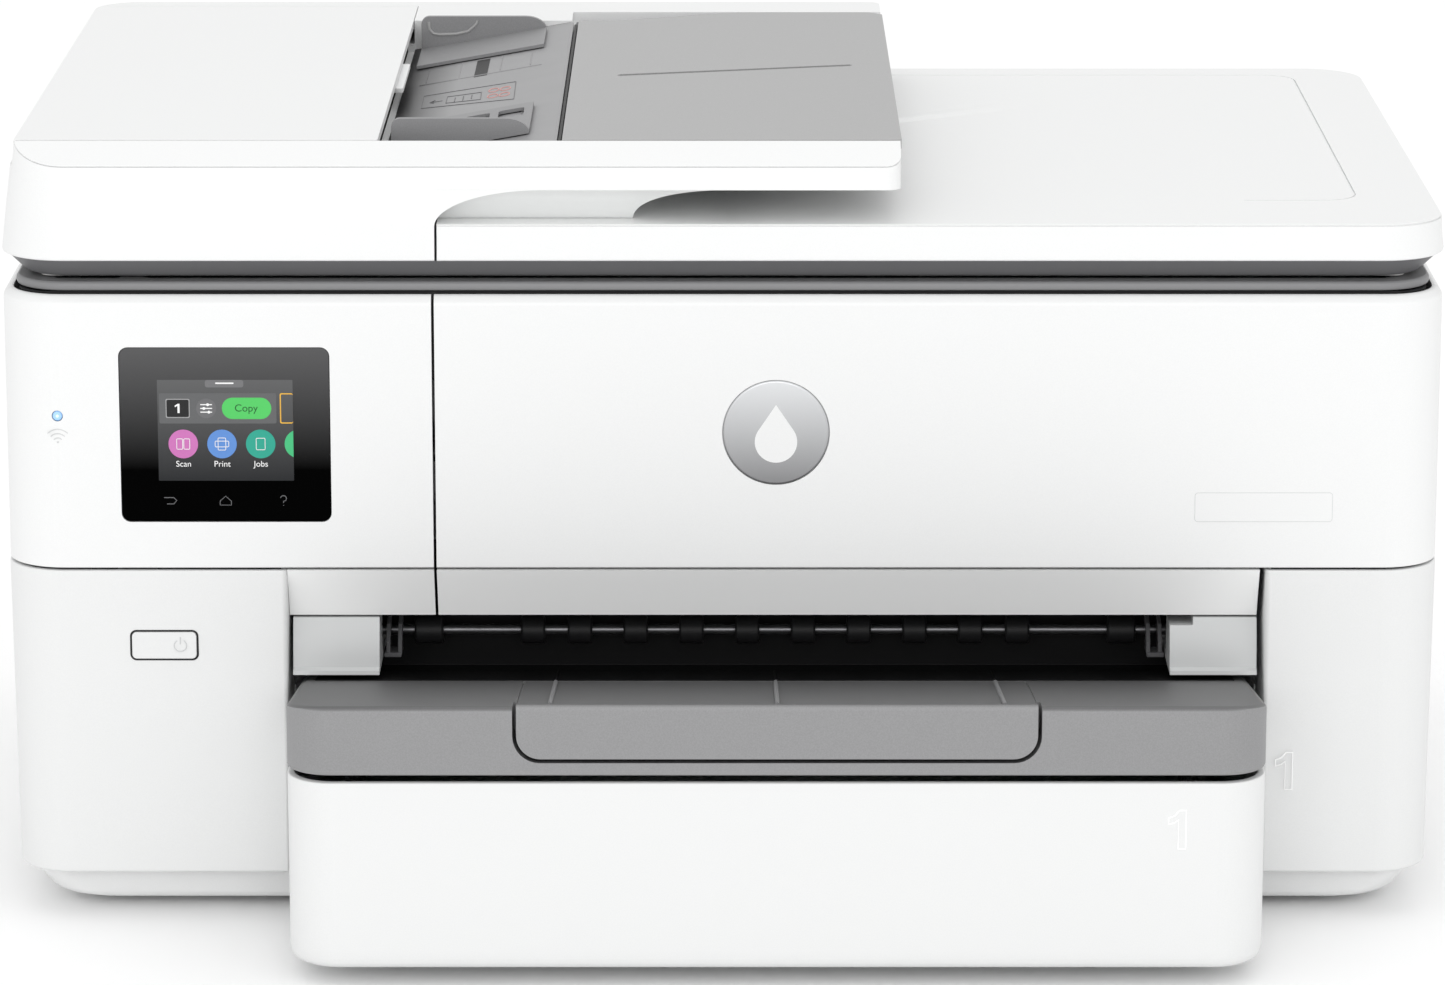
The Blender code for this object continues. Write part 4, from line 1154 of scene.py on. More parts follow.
def feeder_rings(inset=0.0):
    """The feeder's upright walls, leaning in a little, with an eased top edge."""
    rings = []
    for front, side, z in ((0.0007, 0.0010, SKIRT_LOW), (0.0002, 0.0003, SKIRT_LOW + 0.0003),
                           (0.0, 0.0, SKIRT_LOW + 0.0010), (0.0006, 0.0014, LID_HIGH),
                           (0.0024, 0.0040, BROW), (0.0026, 0.0048, FEEDER_HIGH - 0.0008),
                           (0.0028, 0.0050, FEEDER_HIGH - 0.0004),
                           (0.0032, 0.0054, FEEDER_HIGH - 0.0001),
                           (0.0036, 0.0058, FEEDER_HIGH)):
        left = max(LID_CORNER - side - inset, 0.004)
        right = 0.0050 - inset
        end = ARM_END - min(side, 0.0010) * 0.5
        rings.append(ring((-OUTER + side + inset, end - inset),
                          (LID_DEPTH[0] + front + inset, FEEDER_BACK - front * 0.85),
                          (left, right, right, left), z, 12))
    return rings


def brow_height(depth):
    """Height of the sloping band between the feeder's front and its flat top."""
    crease = LID_DEPTH[0] + 0.0024
    return BROW + (depth - crease) * (FEEDER_HIGH - BROW) / (RIM_DEPTH - crease)


def brow_cutters():
    """The room in front of the sloping band, and a fine line along the band's lower edge."""
    across = (-0.30, 0.10)
    room = prism("brow_room", [(-FAR, brow_height(-FAR)), (RIM_DEPTH, FEEDER_HIGH),
                               (RIM_DEPTH, 0.30), (-FAR, 0.30)], "X", across)
    line = prism("brow_line", [(depth, brow_height(depth) - drop) for depth, drop in
                               ((-FAR, 0.0007), (RIM_DEPTH, 0.0007), (RIM_DEPTH, 0.00035),
                                (-FAR, 0.00035))], "X", across)
    carve(line, loft("inside", feeder_rings(0.0005)))
    return room, line


def arm_cutter():
    """The room below the feeder's arm, with a long quarter-ellipse where it meets the body."""
    foot, reach = LID_HIGH - 0.0010, 0.0360
    points = [(NOTCH[0], LID_LOW - 0.02)]
    points += arc((NOTCH[0] + reach, foot), (reach, ARM_BOTTOM - foot), 180, 90, 24)
    points += [(ARM_END + 0.02, ARM_BOTTOM), (ARM_END + 0.02, LID_LOW - 0.02)]
    return prism("arm_room", points, "Y", (-FAR, 0.2900))


def make_feeder_body():
    body = loft("feeder_housing", feeder_rings())
    rim = (RIM_DEPTH - 0.0003, RIM_BACK)
    behind_arm = [(NOTCH[0], LID_LOW - 0.02), (NOTCH[0], LID_HIGH + 0.0001),
                  (ARM_END + 0.02, LID_HIGH + 0.0001), (ARM_END + 0.02, LID_LOW - 0.02)]
    floor_room = [(COVER_EDGE, FLOOR_LOW), (FLOOR_END, FLOOR_HIGH), (FLOOR_END, 0.30),
                  (COVER_EDGE - 0.0005, 0.30)]
    carve(body, arm_cutter(), *brow_cutters(), prism("rear_room", behind_arm, "Y", (0.2800, 0.40)),
          prism("floor_room", floor_room, "Y", (rim[0], FLOOR_BACK)),
          block("entry", (-0.1195, COVER_EDGE + 0.0010), (RIM_DEPTH + 0.0040, FLOOR_BACK - 0.004),
                (FLOOR_LOW, 0.28), 0.0003),
          block("panel_room", (FLOOR_END - 0.001, ARM_END + FAR), (rim[0], 0.2873),
                (0.2646, 0.30), 0.0003),
          block("cover_room", (-0.30, COVER_EDGE), rim, (0.2598, 0.30), 0.0003),
          block("roller_room", (-0.2345, -0.1185), grow(rim, -0.0027), (0.2450, 0.30), 0.003),
          block("under_room", (-OUTER + 0.0035, NOTCH[0] - 0.0020), grow(LID_DEPTH, -0.0035),
                (LID_LOW - 0.01, LID_HIGH - 0.0030), 0.018, 0.0002, 8),
          block("notch", (-0.1900, -0.1500), (0.3050, 0.33), HINGE_ROOM))
    settle(body, "lid", WHITE, ("feeder_base",))
    seam = block("feeder_cover_seam", (-0.2380, COVER_EDGE), SEAM_DEPTH, (0.2590, 0.2676), 0.0001,
                 0.00005)
    settle(seam, "lid", SHADE_GREY)
    make_tray_floor()
    make_roller_bay()
    make_arm_lining()


def make_roller_bay():
    """Dark tub round the feeder's rollers, with one side cut low where the sheets go in."""
    across, depth = (-0.2343, -0.1188), grow((RIM_DEPTH, RIM_BACK), -0.0034)
    bay = block("roller_bay", across, depth, (0.2453, 0.2597), 0.0028)
    carve(bay, block("room", grow(across, -0.0010), grow(depth, -0.0010), (0.2463, 0.30), 0.002),
          block("mouth", (-0.1205, -0.10), grow(depth, -0.0020), (0.2570, 0.30)))
    settle(bay, "lid", DARK)


def floor_height(x):
    return FLOOR_LOW + (FLOOR_HIGH - FLOOR_LOW) * (x - COVER_EDGE) / (FLOOR_END - COVER_EDGE)


def on_floor(points, lift=FLOOR_LIFT):
    """(across, depth) points laid on the sloping floor."""
    return [(x, FRONT + d, floor_height(x) + lift) for x, d in points]


def make_tray_floor():
    """The grey sloping floor between the cover and the panel, with recesses and ribs, in painted
    shade that darkens to near black by the cover's edge.
    """
    start, end = COVER_EDGE + 0.0002, FLOOR_END - 0.0003
    points = [(start, floor_height(start) + FLOOR_LIFT),
              (FLOOR_END - 0.0014, floor_height(FLOOR_END - 0.0014) + FLOOR_LIFT),
              (end, FLOOR_HIGH + FLOOR_LIFT - 0.0006), (end, FLOOR_HIGH - 0.0020),
              (start, FLOOR_LOW - 0.0020)]
    sheet = prism("feeder_floor", points, "Y", (RIM_DEPTH, FLOOR_BACK - 0.0002))
    settle(sheet, "lid", FLOOR_PAINTED_SHADE)
    lines = [tube("line", on_floor([(x, near), (x, far)]), 0.00022)
             for x in (-0.1080, -0.0960, -0.0810, -0.0700)
             for near, far in ((0.0620, 0.0900), (0.1840, 0.2140))]
    lines += [tube("line", on_floor([(COVER_EDGE + 0.006, d), (FLOOR_END - 0.010, d)]), 0.00030)
              for d in (0.1800, 0.0930)]
    settle(gather("feeder_floor_ribs", lines), "lid", FLOOR_PAINTED_SHADE)
    slot = prism("feeder_floor_slot", [(x, floor_height(x) + lift) for x, lift in
                                       ((-0.0904, FLOOR_LIFT + 0.00005),
                                        (-0.0856, FLOOR_LIFT + 0.00005),
                                        (-0.0856, 0.0), (-0.0904, 0.0))], "Y", (0.1780, 0.2140))
    settle(slot, "lid", INK_BLACK)
    make_load_mark()
    # Black blocks in the gap beside the panel: painted shade, raised to hide the lit walls below.
    gap = block("hinge_gap", (FLOOR_END - 0.0002, -0.0540), (RIM_DEPTH, FLOOR_BACK),
                (0.2645, 0.2651))
    filler = block("filler", (FLOOR_END - 0.0001, -0.0547), (RIM_DEPTH, FLOOR_BACK - 0.0003),
                   (0.2646, 0.2672))
    settle(fuse(gap, filler), "lid", INK_BLACK)
    seam = block("feeder_panel_seam", (FLOOR_END, ARM_END - 0.0012), SEAM_DEPTH,
                 (0.2644, 0.2681), 0.0001, 0.00005)
    settle(seam, "lid", INK_BLACK)
    deck = block("panel_deck", (FLOOR_END + 0.0002, ARM_END - 0.0020), (RIM_DEPTH, 0.2870),
                 (0.2645, 0.2649), 0.002, 0.0001)
    settle(deck, "lid", SHADE_GREY)


def make_load_mark():
    """An outlined sign with a sheet and an arrow, and four pale red rings beside it."""
    border = [(-0.1072, 0.1300), (-0.0738, 0.1155), (-0.0742, 0.1520), (-0.1075, 0.1555)]
    page = [(-0.0985, 0.1320), (-0.0860, 0.1270), (-0.0862, 0.1420), (-0.0985, 0.1450)]
    arrow = [(-0.1000, 0.1385), (-0.1045, 0.1390), (-0.1028, 0.1415), (-0.1045, 0.1390),
             (-0.1030, 0.1365)]
    lines = [(border, True), (page, True), (arrow, False)]
    lines += [([(x, 0.1320), (x, 0.1400)], False) for x in (-0.0955, -0.0925, -0.0895)]
    items = [tube("mark", on_floor(line, PRINT_LIFT), 0.00018, closed) for line, closed in lines]
    settle(gather("feeder_load_mark", items), "lid", SHADE_GREY)
    rings = [tube("ring", on_floor(circle(centre, (0.0018, 0.0036), 24), PRINT_LIFT), 0.00022,
                  closed=True)
             for centre in ((-0.0818, 0.1300), (-0.0776, 0.1290), (-0.0818, 0.1420),
                            (-0.0776, 0.1410))]
    settle(gather("feeder_mark_rings", rings), "lid", PALE_RED)


def make_arm_lining():
    """The slanting cheek under the arm, which ends in the mouth where sheets come out."""
    front, foot, back = 0.0026, 0.0120, 0.2895
    floor, roof = LID_HIGH + 0.0001, ARM_BOTTOM + 0.0002
    section = [(foot + 0.0004, floor)]
    section += bowed((foot, floor + 0.0004), (front, roof), 0.0016, 8)
    section += [(back, roof), (back, floor)]
    cheek = prism("arm_cheek", section, "X", (NOTCH[0] - 0.0004, 0.0040))
    mouth, reach = -0.0303, 0.0310
    opening = [(mouth, floor - 0.001)]
    opening += arc((mouth + reach, floor), (reach, ARM_BOTTOM - floor), 180, 90, 20)
    opening += [(0.05, ARM_BOTTOM), (0.05, floor - 0.001)]
    carve(cheek, prism("mouth", opening, "Y", (-0.02, 0.2800)))
    settle(cheek, "lid", OFF_WHITE)


def make_feeder_cover():
    """The lid over the feeder's rollers: one face with the feeder's top, and a hollow back."""
    across, depth, height = spans("feeder_cover")
    cover = loft("feeder_top_cover", feeder_rings())
    limit = block("limit", across, depth, (height[0], height[1] + 0.01), 0.0006, 0.0002)
    carve(cover, limit, operation="INTERSECT")
    inner = block("inner", (across[0] + 0.0045, across[1] + 0.01), grow(depth, -0.0040),
                  (height[0] - 0.01, height[1] - 0.0028), 0.006, 0.0003)
    carve(cover, inner)
    settle(cover, "feeder_cover_body", WHITE, ("feeder_cover",))
    ribs = [block("rib", (across[0] + 0.006, across[1] - 0.003), (d, d + 0.0012),
                  (height[0] + 0.0006, height[1] - 0.0026)) for d in
            (0.060, 0.105, 0.150, 0.195, 0.240)]
    settle(gather("feeder_cover_ribs", ribs), "feeder_cover_body", OFF_WHITE)
    tab = block("feeder_cover_tab", (across[1] - 0.0010, across[1] + 0.0026),
                (0.1370, 0.1890), (height[1] - 0.0050, height[1] - 0.0032), 0.0010, 0.0003)
    settle(tab, "feeder_cover_body", WHITE)


def make_feeder_panel():
    across, depth, height = spans("feeder_panel")
    notch = 0.0200
    path = [(across[0], depth[0])]
    path += arc((across[1] - 0.0030, depth[0] + 0.0030), 0.0030, -90, 0, 6)
    path += [(across[1], depth[1] - 0.0050), (across[1] - 0.0050, depth[1]),
             (across[0] + 0.0600, depth[1]), (across[0] + 0.0150, depth[1] - notch),
             (across[0], depth[1] - notch)]
    panel = prism("feeder_support_panel", path, "Z", height)
    line = [(-0.0367, 0.1445), (0.0456, 0.1656), (0.0468, 0.1672), (0.0456, 0.1688),
            (-0.0367, 0.1478), (-0.0379, 0.1460)]
    groove = prism("groove", line, "Z", (height[1] - 0.0020, height[1] + 0.01))
    finger = block("finger", (across[1] - 0.0100, across[1] + 0.01), (0.1250, 0.1750),
                   (height[0] - 0.001, height[0] + 0.0012), 0.004, 0.0002)
    carve(panel, groove, finger)
    ease_edges(panel, 0.0004)
    settle(panel, "feeder_panel_body", FEEDER_GREY, ("feeder_panel",))
    # A dark insert at the groove's bottom: painted shade in the groove.
    bottom = prism("feeder_panel_groove", line, "Z", (height[1] - 0.0021, height[1] - 0.0014))
    settle(bottom, "feeder_panel_body", DARK)


GUIDE_LEFT, GUIDE_RIGHT = span_of("feeder_guide_rear", "X")
GUIDE_TOP = span_of("feeder_guide_rear", "Z")[1]
# Clearance of the fences above the sloping floor.
GUIDE_GAP = 0.00075


def guide_wall(name, depth):
    """An upright fence whose foot follows the sloping floor."""
    foot = [(x, floor_height(x) + GUIDE_GAP) for x in (GUIDE_LEFT, GUIDE_RIGHT)]
    corner, small = 0.0080, 0.0030
    drop = min(corner, GUIDE_TOP - foot[1][1] - 0.0002)
    points = foot + arc((GUIDE_RIGHT - corner, GUIDE_TOP - drop), (corner, drop), 0, 90, 8)
    points += arc((GUIDE_LEFT + small, GUIDE_TOP - small), small, 90, 180, 6)
    return prism(name, points, "Y", depth)


def guide_foot(depth):
    points = [(x, floor_height(x) + GUIDE_GAP + lift) for x, lift in
              ((GUIDE_LEFT, 0.0), (GUIDE_RIGHT, 0.0), (GUIDE_RIGHT, 0.0012),
               (GUIDE_LEFT, 0.0012))]
    return prism("foot", points, "Y", depth)


def make_feeder_guides():
    rear = guide_wall("feeder_rear_fence", (0.2550, 0.2575))
    fuse(rear, guide_foot((0.2165, 0.2560)))
    ease_edges(rear, 0.0003)
    # The fence's grey is darkened as painted shade.
    settle(rear, "feeder_guide_rear_body", GUIDE_PAINTED_SHADE,
           ("feeder_guide_rear",))
    hook = [(-0.1102, 0.2700), (-0.1100, 0.2672), (-0.1085, 0.2655), (-0.1060, 0.2652),
            (-0.1000, 0.2654), (-0.0955, 0.2664), (-0.0925, 0.2690), (-0.0918, 0.2705)]
    rib = tube("feeder_rear_fence_rib", upright(hook, 0.2550), 0.00055)
    settle(rib, "feeder_guide_rear_body", FEEDER_GREY)
    front = guide_wall("feeder_front_fence", (0.0380, 0.0405))
    fuse(front, guide_foot((0.0395, 0.0940)))
    corner = prism("corner", [(GUIDE_LEFT - 0.01, 0.0960), (GUIDE_LEFT - 0.01, 0.0700),
                              (GUIDE_LEFT, 0.0700), (GUIDE_LEFT + 0.0160, 0.0960)], "Z",
                   (0.25, 0.28))
    pockets = [block("pocket", (x, x + 0.0090), (0.0700, 0.0860), (0.25, 0.28), 0.0015)
               for x in (-0.0900, -0.0780)]
    carve(front, corner, gather("pockets", pockets))
    ease_edges(front, 0.0003)
    # The fence's grey is darkened as painted shade.
    settle(front, "feeder_guide_front_body", GUIDE_PAINTED_SHADE,
           ("feeder_guide_front",))


def groove_steps(start, width, radius):
    """Profile points of a fine groove round a tyre."""
    slope = 0.0003
    return [(start, radius), (start + slope, radius - 0.0005),
            (start + width - slope, radius - 0.0005), (start + width, radius)]


def make_feeder_rollers():
    """Ribbed rubber tyres on shafts with a flat at their front end."""
    half, chamfer = 0.0160, 0.0006
    for node, axis, radius in (("feeder_pick_roller", (-0.1300, 0.2545), 0.0065),
                               ("feeder_drive_roller", (-0.1650, 0.2545), 0.0080)):
        low, high = span_of(node, "Y")
        middle = (low + high) / 2
        body = f"{node}_body"
        shaft = cylinder(f"{node}_shaft", "Y", axis, (low, high), 0.0028, 24, 0.0003)
        settle(shaft, body, STEEL, (node,))
        profile = [(middle - half, radius * 0.62), (middle - half, radius * 0.93),
                   (middle - half + chamfer, radius)]
        for k in range(6):
            start = middle - 0.0140 + k * 0.0048
            profile += groove_steps(start, 0.0012, radius)
        profile += [(middle + half - chamfer, radius), (middle + half, radius * 0.93),
                    (middle + half, radius * 0.62)]
        tyre = turned(f"{node}_tyre", "Y", axis, profile, 40)
        settle(tyre, body, RUBBER)
        carve(shaft, block("flat", (axis[0] + 0.0022, axis[0] + 0.0034),
                           (low - 0.001, low + 0.006), grow((axis[1],) * 2, 0.004)))


# Trays

TRAY_ACROSS = span_of("output_tray", "X")
TRAY_DEPTH = span_of("output_tray", "Y")
TRAY_BOTTOM = span_of("output_tray", "Z")[0]
# The output tray's top is level up to the crest, a depth, and slopes down behind it.
CREST = -0.0775
CREST_TOP = 0.0967
SLOPE = 0.1673
# The extension's front handle, and how proud the drawer's number stands.
EXTENSION = span_of("tray_extension", "X")
HANDLE_BOTTOM = 0.0792
HANDLE_DEPTH = 0.0150
NUMBER_RELIEF = 0.0003


def tray_top(depth):
    return CREST_TOP - SLOPE * (max(depth, CREST) - CREST)


def tray_rings(across, depth, bottom, radii, back_inset):
    """Rings of the tray's rounded edge, of which the upper ones follow its slope."""
    rings = [ring(grow(across, -inset), (depth[0] + inset, depth[1] - inset * back_inset),
                  shrink(radii, inset), z, 10)
             for inset, z in ((0.0012, bottom), (0.0004, bottom + 0.0003),
                              (0.0, bottom + 0.0010))]
    for inset, drop in ((0.0, 0.0016), (0.0003, 0.0009), (0.0010, 0.0004), (0.0025, 0.0)):
        rings.append(ring(grow(across, -inset),
                          (depth[0] + inset, depth[1] - inset * back_inset),
                          shrink(radii, inset), lambda d, drop=drop: tray_top(d) - drop, 10))
    return rings


def tray_ribs(name, depth, radius):
    """Three fine ribs that run down the tray's slope."""
    return gather(name, [tube("rib", [(x, FRONT + d, tray_top(d) + 0.0001) for d in depth],
                              radius)
                         for x in (-0.0570, 0.0180, 0.0930)])


def make_output_tray():
    small = 0.0005
    tray = loft("output_tray_deck", tray_rings(TRAY_ACROSS, TRAY_DEPTH, TRAY_BOTTOM,
                                               (0.0150, 0.0150, small, small), 0.2))
    gap, drop = 0.0013, 0.0029
    handle = rounded_outline(grow(EXTENSION, gap), (HANDLE_BOTTOM - gap, 0.13),
                             (0.0091, 0.0091, 0.0005, 0.0005), 8)
    shelf = [(-0.09, tray_top(-0.09) - drop), (0.0002, tray_top(0.0002) - drop), (0.0002, 0.12),
             (-0.09, 0.12)]
    carve(tray, prism("room", handle, "Y", (TRAY_DEPTH[0] - 0.01,
                                            TRAY_DEPTH[0] + HANDLE_DEPTH + gap)),
          prism("shelf", shelf, "X", grow(EXTENSION, 0.00015)),
          block("under", grow(TRAY_ACROSS, -0.006), (-0.0600, 0.0330),
                (TRAY_BOTTOM - 0.01, TRAY_BOTTOM + 0.0012), 0.004, 0.0003))
    # Painted shade darkens the deck's top.
    settle(tray, "printer_body", TRAY_PAINTED_SHADE, ("output_tray",))
    settle(tray_ribs("output_tray_ribs", (0.0025, 0.0330), 0.0006), "printer_body", INK_BLACK)
    # A black sheet over the deck's rear: painted shade where the deck runs in under the body.
    points = [(0.0030, tray_top(0.0030)), (0.0340, tray_top(0.0340)),
              (0.0340, tray_top(0.0340) + 0.0003), (0.0030, tray_top(0.0030) + 0.0003)]
    back = prism("output_tray_back", points, "X", grow(TRAY_ACROSS, -0.0050))
    settle(back, "printer_body", INK_BLACK)


def make_tray_extension():
    front, back = span_of("tray_extension", "Y")
    outline = rounded_outline(EXTENSION, (HANDLE_BOTTOM, 0.12), (0.0080, 0.0080, 0.0005, 0.0005),
                              10)
    handle = prism("tray_extension_plate", outline, "Y", (front, back))
    lip = [(front + out, CREST_TOP + rise) for out, rise in
           ((-0.0020, -0.0030), (0.0, -0.0012), (0.0003, 0.0002), (0.0009, 0.0009),
            (0.0017, 0.0010), (0.0024, 0.0004), (0.0033, -0.0003))]
    above = [(-0.12, 0.0930)] + lip + [(0.02, tray_top(0.02)), (0.02, 0.20), (-0.12, 0.20)]
    inner = front + HANDLE_DEPTH
    below = [(inner, 0.02), (0.03, 0.02), (0.03, tray_top(0.03) - 0.0025),
             (inner, tray_top(inner) - 0.0025)]
    carve(handle, prism("above", above, "X", (-0.3, 0.3)), prism("below", below, "X", (-0.3, 0.3)),
          block("hollow", grow(EXTENSION, -0.0100), (front + 0.0030, front + 0.0200),
                (HANDLE_BOTTOM - 0.01, 0.0900), 0.003, 0.0003))
    ease_edges(handle, 0.0004, 30)
    # Painted shade darkens the handle's top.
    settle(handle, "tray_extension_body", TRAY_PAINTED_SHADE,
           ("tray_extension",))
    settle(tray_ribs("tray_extension_ribs", (-0.0740, -0.0020), 0.0008), "tray_extension_body",
           BAND_GREY)


def make_cassette():
    """Paper drawer: a tall white front, low sides, and an open inside with guides."""
    across, depth, (low, high) = spans("cassette")
    depth = (depth[0] + NUMBER_RELIEF, depth[1])
    wall, floor = 0.0022, 0.0018
    rings = []
    for inset, z in ((0.0046, low), (0.0032, low + 0.0002), (0.0016, low + 0.0011),
                     (0.0006, low + 0.0024), (0.0001, low + 0.0042), (0.0, low + 0.0070),
                     (0.0, high - 0.0008), (0.0002, high - 0.0003), (0.0007, high)):
        front, back = 0.0160 - inset * 0.6, max(0.0060 - inset, 0.0008)
        rings.append(ring(grow(across, -inset), grow(depth, -inset), (front, front, back, back),
                          z, 12))
    drawer = loft("cassette_drawer", rings)
    inner = slab("inner", grow(across, -wall), grow(depth, -wall),
                 [(0.0012, low + floor), (0.0, low + floor + 0.0012), (0.0, high + 0.01)],
                 0.0138, 10)
    side_top, step = 0.0500, 0.0040
    cut = prism("cut", [(0.0500, side_top + step), (0.0500 + step, side_top), (0.40, side_top),
                        (0.40, 0.12), (0.0500, 0.12)], "X", (-0.4, 0.4))
    carve(drawer, inner, cut)
    # The drawer wears the white with painted shade.
    settle(drawer, "cassette_body", LOWER_WHITE_PAINTED_SHADE, ("cassette",))
    pull = block("cassette_grip", grow(across, -0.0900), (depth[0] + 0.0021, depth[0] + 0.0060),
                 (high - 0.0170, high - 0.0020), 0.003, 0.0003)
    settle(pull, "cassette_body", TRAY_GREY)
    rib_height = (low + 0.0016, low + 0.0024)
    ribs = [block("rib", (x, x + 0.0010), (0.0600, 0.2750), rib_height)
            for x in (-0.1000, -0.0600, 0.0800, 0.1200)]
    ribs += [block("rib", (-0.1200, -0.0100), (d, d + 0.0010), rib_height)
             for d in (-0.0300, 0.0050)]
    settle(gather("cassette_floor_ribs", ribs), "cassette_body", OFF_WHITE)
    digit("cassette_number", (0.1503, 0.0550), depth[0], "cassette_body")


def digit(name, centre, depth, body):
    """A raised outline of the number one, as moulded beside a paper source, with a painted
    highlight: it is brighter than the housing.
    """
    shape = [(0.0001, -0.0066), (0.0026, -0.0066), (0.0026, 0.0066), (0.0004, 0.0066),
             (-0.0012, 0.0048), (-0.0032, 0.0040), (-0.0032, 0.0018), (-0.0012, 0.0024),
             (0.0001, 0.0034)]
    route = upright([(centre[0] + x, centre[1] + z) for x, z in shape], depth)
    settle(tube(name, route, 0.00028, closed=True), body, DIGIT_PAINTED_HIGHLIGHT)


def make_cassette_guides():
    for side in ("left", "right"):
        node = f"cassette_guide_{side}"
        across, (front, back), (low, high) = spans(node)
        fence = block(f"paper_fence_{side}", across, (front, back), (low, high), 0.0008, 0.0003)
        inner = across[1] if side == "left" else across[0]
        bars = []
        for index in range(7):
            d = front + 0.008 + index * 0.0135
            bars.append(block("bar", grow((inner, inner), 0.0004), (d, d + 0.0016),
                              (low + 0.004, high - 0.005), 0.0002, 0.0001))
        carve(fence, block("slot", grow(across, 0.01), (front + 0.0350, front + 0.0650),
                           (low + 0.0040, low + 0.0150), 0.0002))
        settle(fence, f"{node}_body", TRAY_GREY, (node,))
        settle(gather(f"paper_fence_{side}_ribs", bars), f"{node}_body", TRAY_GREY)
    across, depth, height = spans("cassette_length_guide")
    fence = block("paper_length_fence", across, depth, height, 0.0008, 0.0003)
    carve(fence, block("grip", grow(across, -0.0100), grow(depth, 0.01),
                       (height[1] - 0.0120, height[1] - 0.0050), 0.0002))
    settle(fence, "cassette_length_guide_body", TRAY_GREY,
           ("cassette_length_guide",))


# Print engine

# Depth and height of each shaft.
FEED_AXIS = (0.1500, 0.0903)
PICK_AXIS = (0.2500, 0.0665)
# Each cartridge's label colour, and a slot name that is not used.
CARTRIDGES = {"black": ((0.02, 0.02, 0.022), "black_plastic"),
              "cyan": ((0.0, 0.30, 0.62), "cyan_label"),
              "magenta": ((0.55, 0.01, 0.20), "magenta_label"),
              "yellow": ((0.85, 0.62, 0.02), "yellow_label")}


def make_rollers():
    """Feed roller across the paper path and the pick roller above the cassette."""
    for node, axis, shaft in (("feed_roller", FEED_AXIS, 0.0038),
                              ("pick_roller", PICK_AXIS, 0.0030)):
        item = cylinder(f"{node}_shaft", "X", axis, span_of(node, "X"), shaft, 24, 0.0003)
        settle(item, f"{node}_body", STEEL, (node,))
    tyres = [turned("tyre", "X", FEED_AXIS, [
        (centre + side * reach, radius)
        for side, steps in ((-1, ((0.0140, 0.0038), (0.0140, 0.0054), (0.0136, 0.0058))),
                            (1, ((0.0136, 0.0058), (0.0140, 0.0054), (0.0140, 0.0038))))
        for reach, radius in steps], 32) for centre in (-0.105, -0.035, 0.035, 0.105, 0.160)]
    settle(gather("feed_roller_tyres", tyres), "feed_roller_body", RUBBER)
    radius, width = 0.0120, 0.0360
    profile = [(0.0, 0.0040), (0.0, radius - 0.0006), (0.0006, radius)]
    for index in range(8):
        profile += groove_steps(0.0020 + index * 0.0042, 0.0011, radius)
    profile += [(width - 0.0006, radius), (width, radius - 0.0006), (width, 0.0040)]
    tyre = turned("pick_roller_tyre", "X", PICK_AXIS, profile, 40)
    settle(tyre, "pick_roller_body", RUBBER)
    gear = spur_gear("pick_roller_gear", PICK_AXIS, (0.0880, 0.0940), 0.0070, 20)
    settle(gear, "pick_roller_body", OFF_WHITE)


def spur_gear(name, centre, span, radius, teeth):
    points = []
    for tooth in range(teeth):
        for share, reach in ((0.0, 0.88), (0.2, 1.0), (0.45, 1.0), (0.65, 0.88)):
            angle = 2 * math.pi * (tooth + share) / teeth
            points.append((centre[0] + radius * reach * math.cos(angle),
                           centre[1] + radius * reach * math.sin(angle)))
    return prism(name, points, "X", span)


def make_carriage():
    """Four ink cartridges with labels and latches; the carriage keeps its CAD body."""
    latches, labels = [], {}
    for colour in CARTRIDGES:
        node = f"ink_cartridge_{colour}"
        x, d, z = spans(node)
        body = block(f"cartridge_{colour}_body", x, d, z, 0.0012, 0.0005)
        carve(body, block("thumb", grow(x, -0.0035), (d[0] + 0.004, d[0] + 0.012),
                          (z[1] - 0.0014, z[1] + 0.01), 0.0015))
        settle(body, "carriage", INK_BLACK, (node,))
        labels[colour] = block(f"cartridge_{colour}_mark", grow(x, -0.0030),
                               (d[0] + 0.020, d[1] - 0.010), (z[1] - 0.0003, z[1]), 0.0015,
                               0.0001)
        latches.append(block("latch", grow(x, -0.0040), (d[0] - 0.0012, d[0] + 0.0010),
                             (z[1] - 0.0200, z[1] - 0.0060), 0.0006, 0.0003))
    settle(gather("cartridge_latches", latches), "carriage", DARK)
    for colour, (paint, slot) in CARTRIDGES.items():
        settle(labels[colour], "carriage", flat_finish(f"label_{colour}", paint, 0.4))


def make_belt():
    """Toothed belt loop between two pulleys."""
    across, depth, height = spans("carriage_belt")
    middle = sum(depth) / 2
    radius = (depth[1] - depth[0]) / 2
    ends = grow(across, -radius)
    outline = (arc((ends[1], middle), radius, -90, 90, 12)
               + arc((ends[0], middle), radius, 90, 270, 12))
    belt = prism("toothed_belt", outline, "Z", height)
    inner = [(x + (0.0009 if x < 0 else -0.0009), middle + (d - middle) * 0.86)
             for x, d in outline]
    carve(belt, prism("inside", inner, "Z", grow(height, 0.01)))
    settle(belt, "printer_body", RUBBER, ("carriage_belt",))
    pulleys = [cylinder("pulley", "Z", (x, middle), (height[0] - 0.0015, height[1] + 0.0010),
                        radius * 0.84, 24, 0.0003) for x in ends]
    settle(gather("belt_pulleys", pulleys), "printer_body", STEEL)


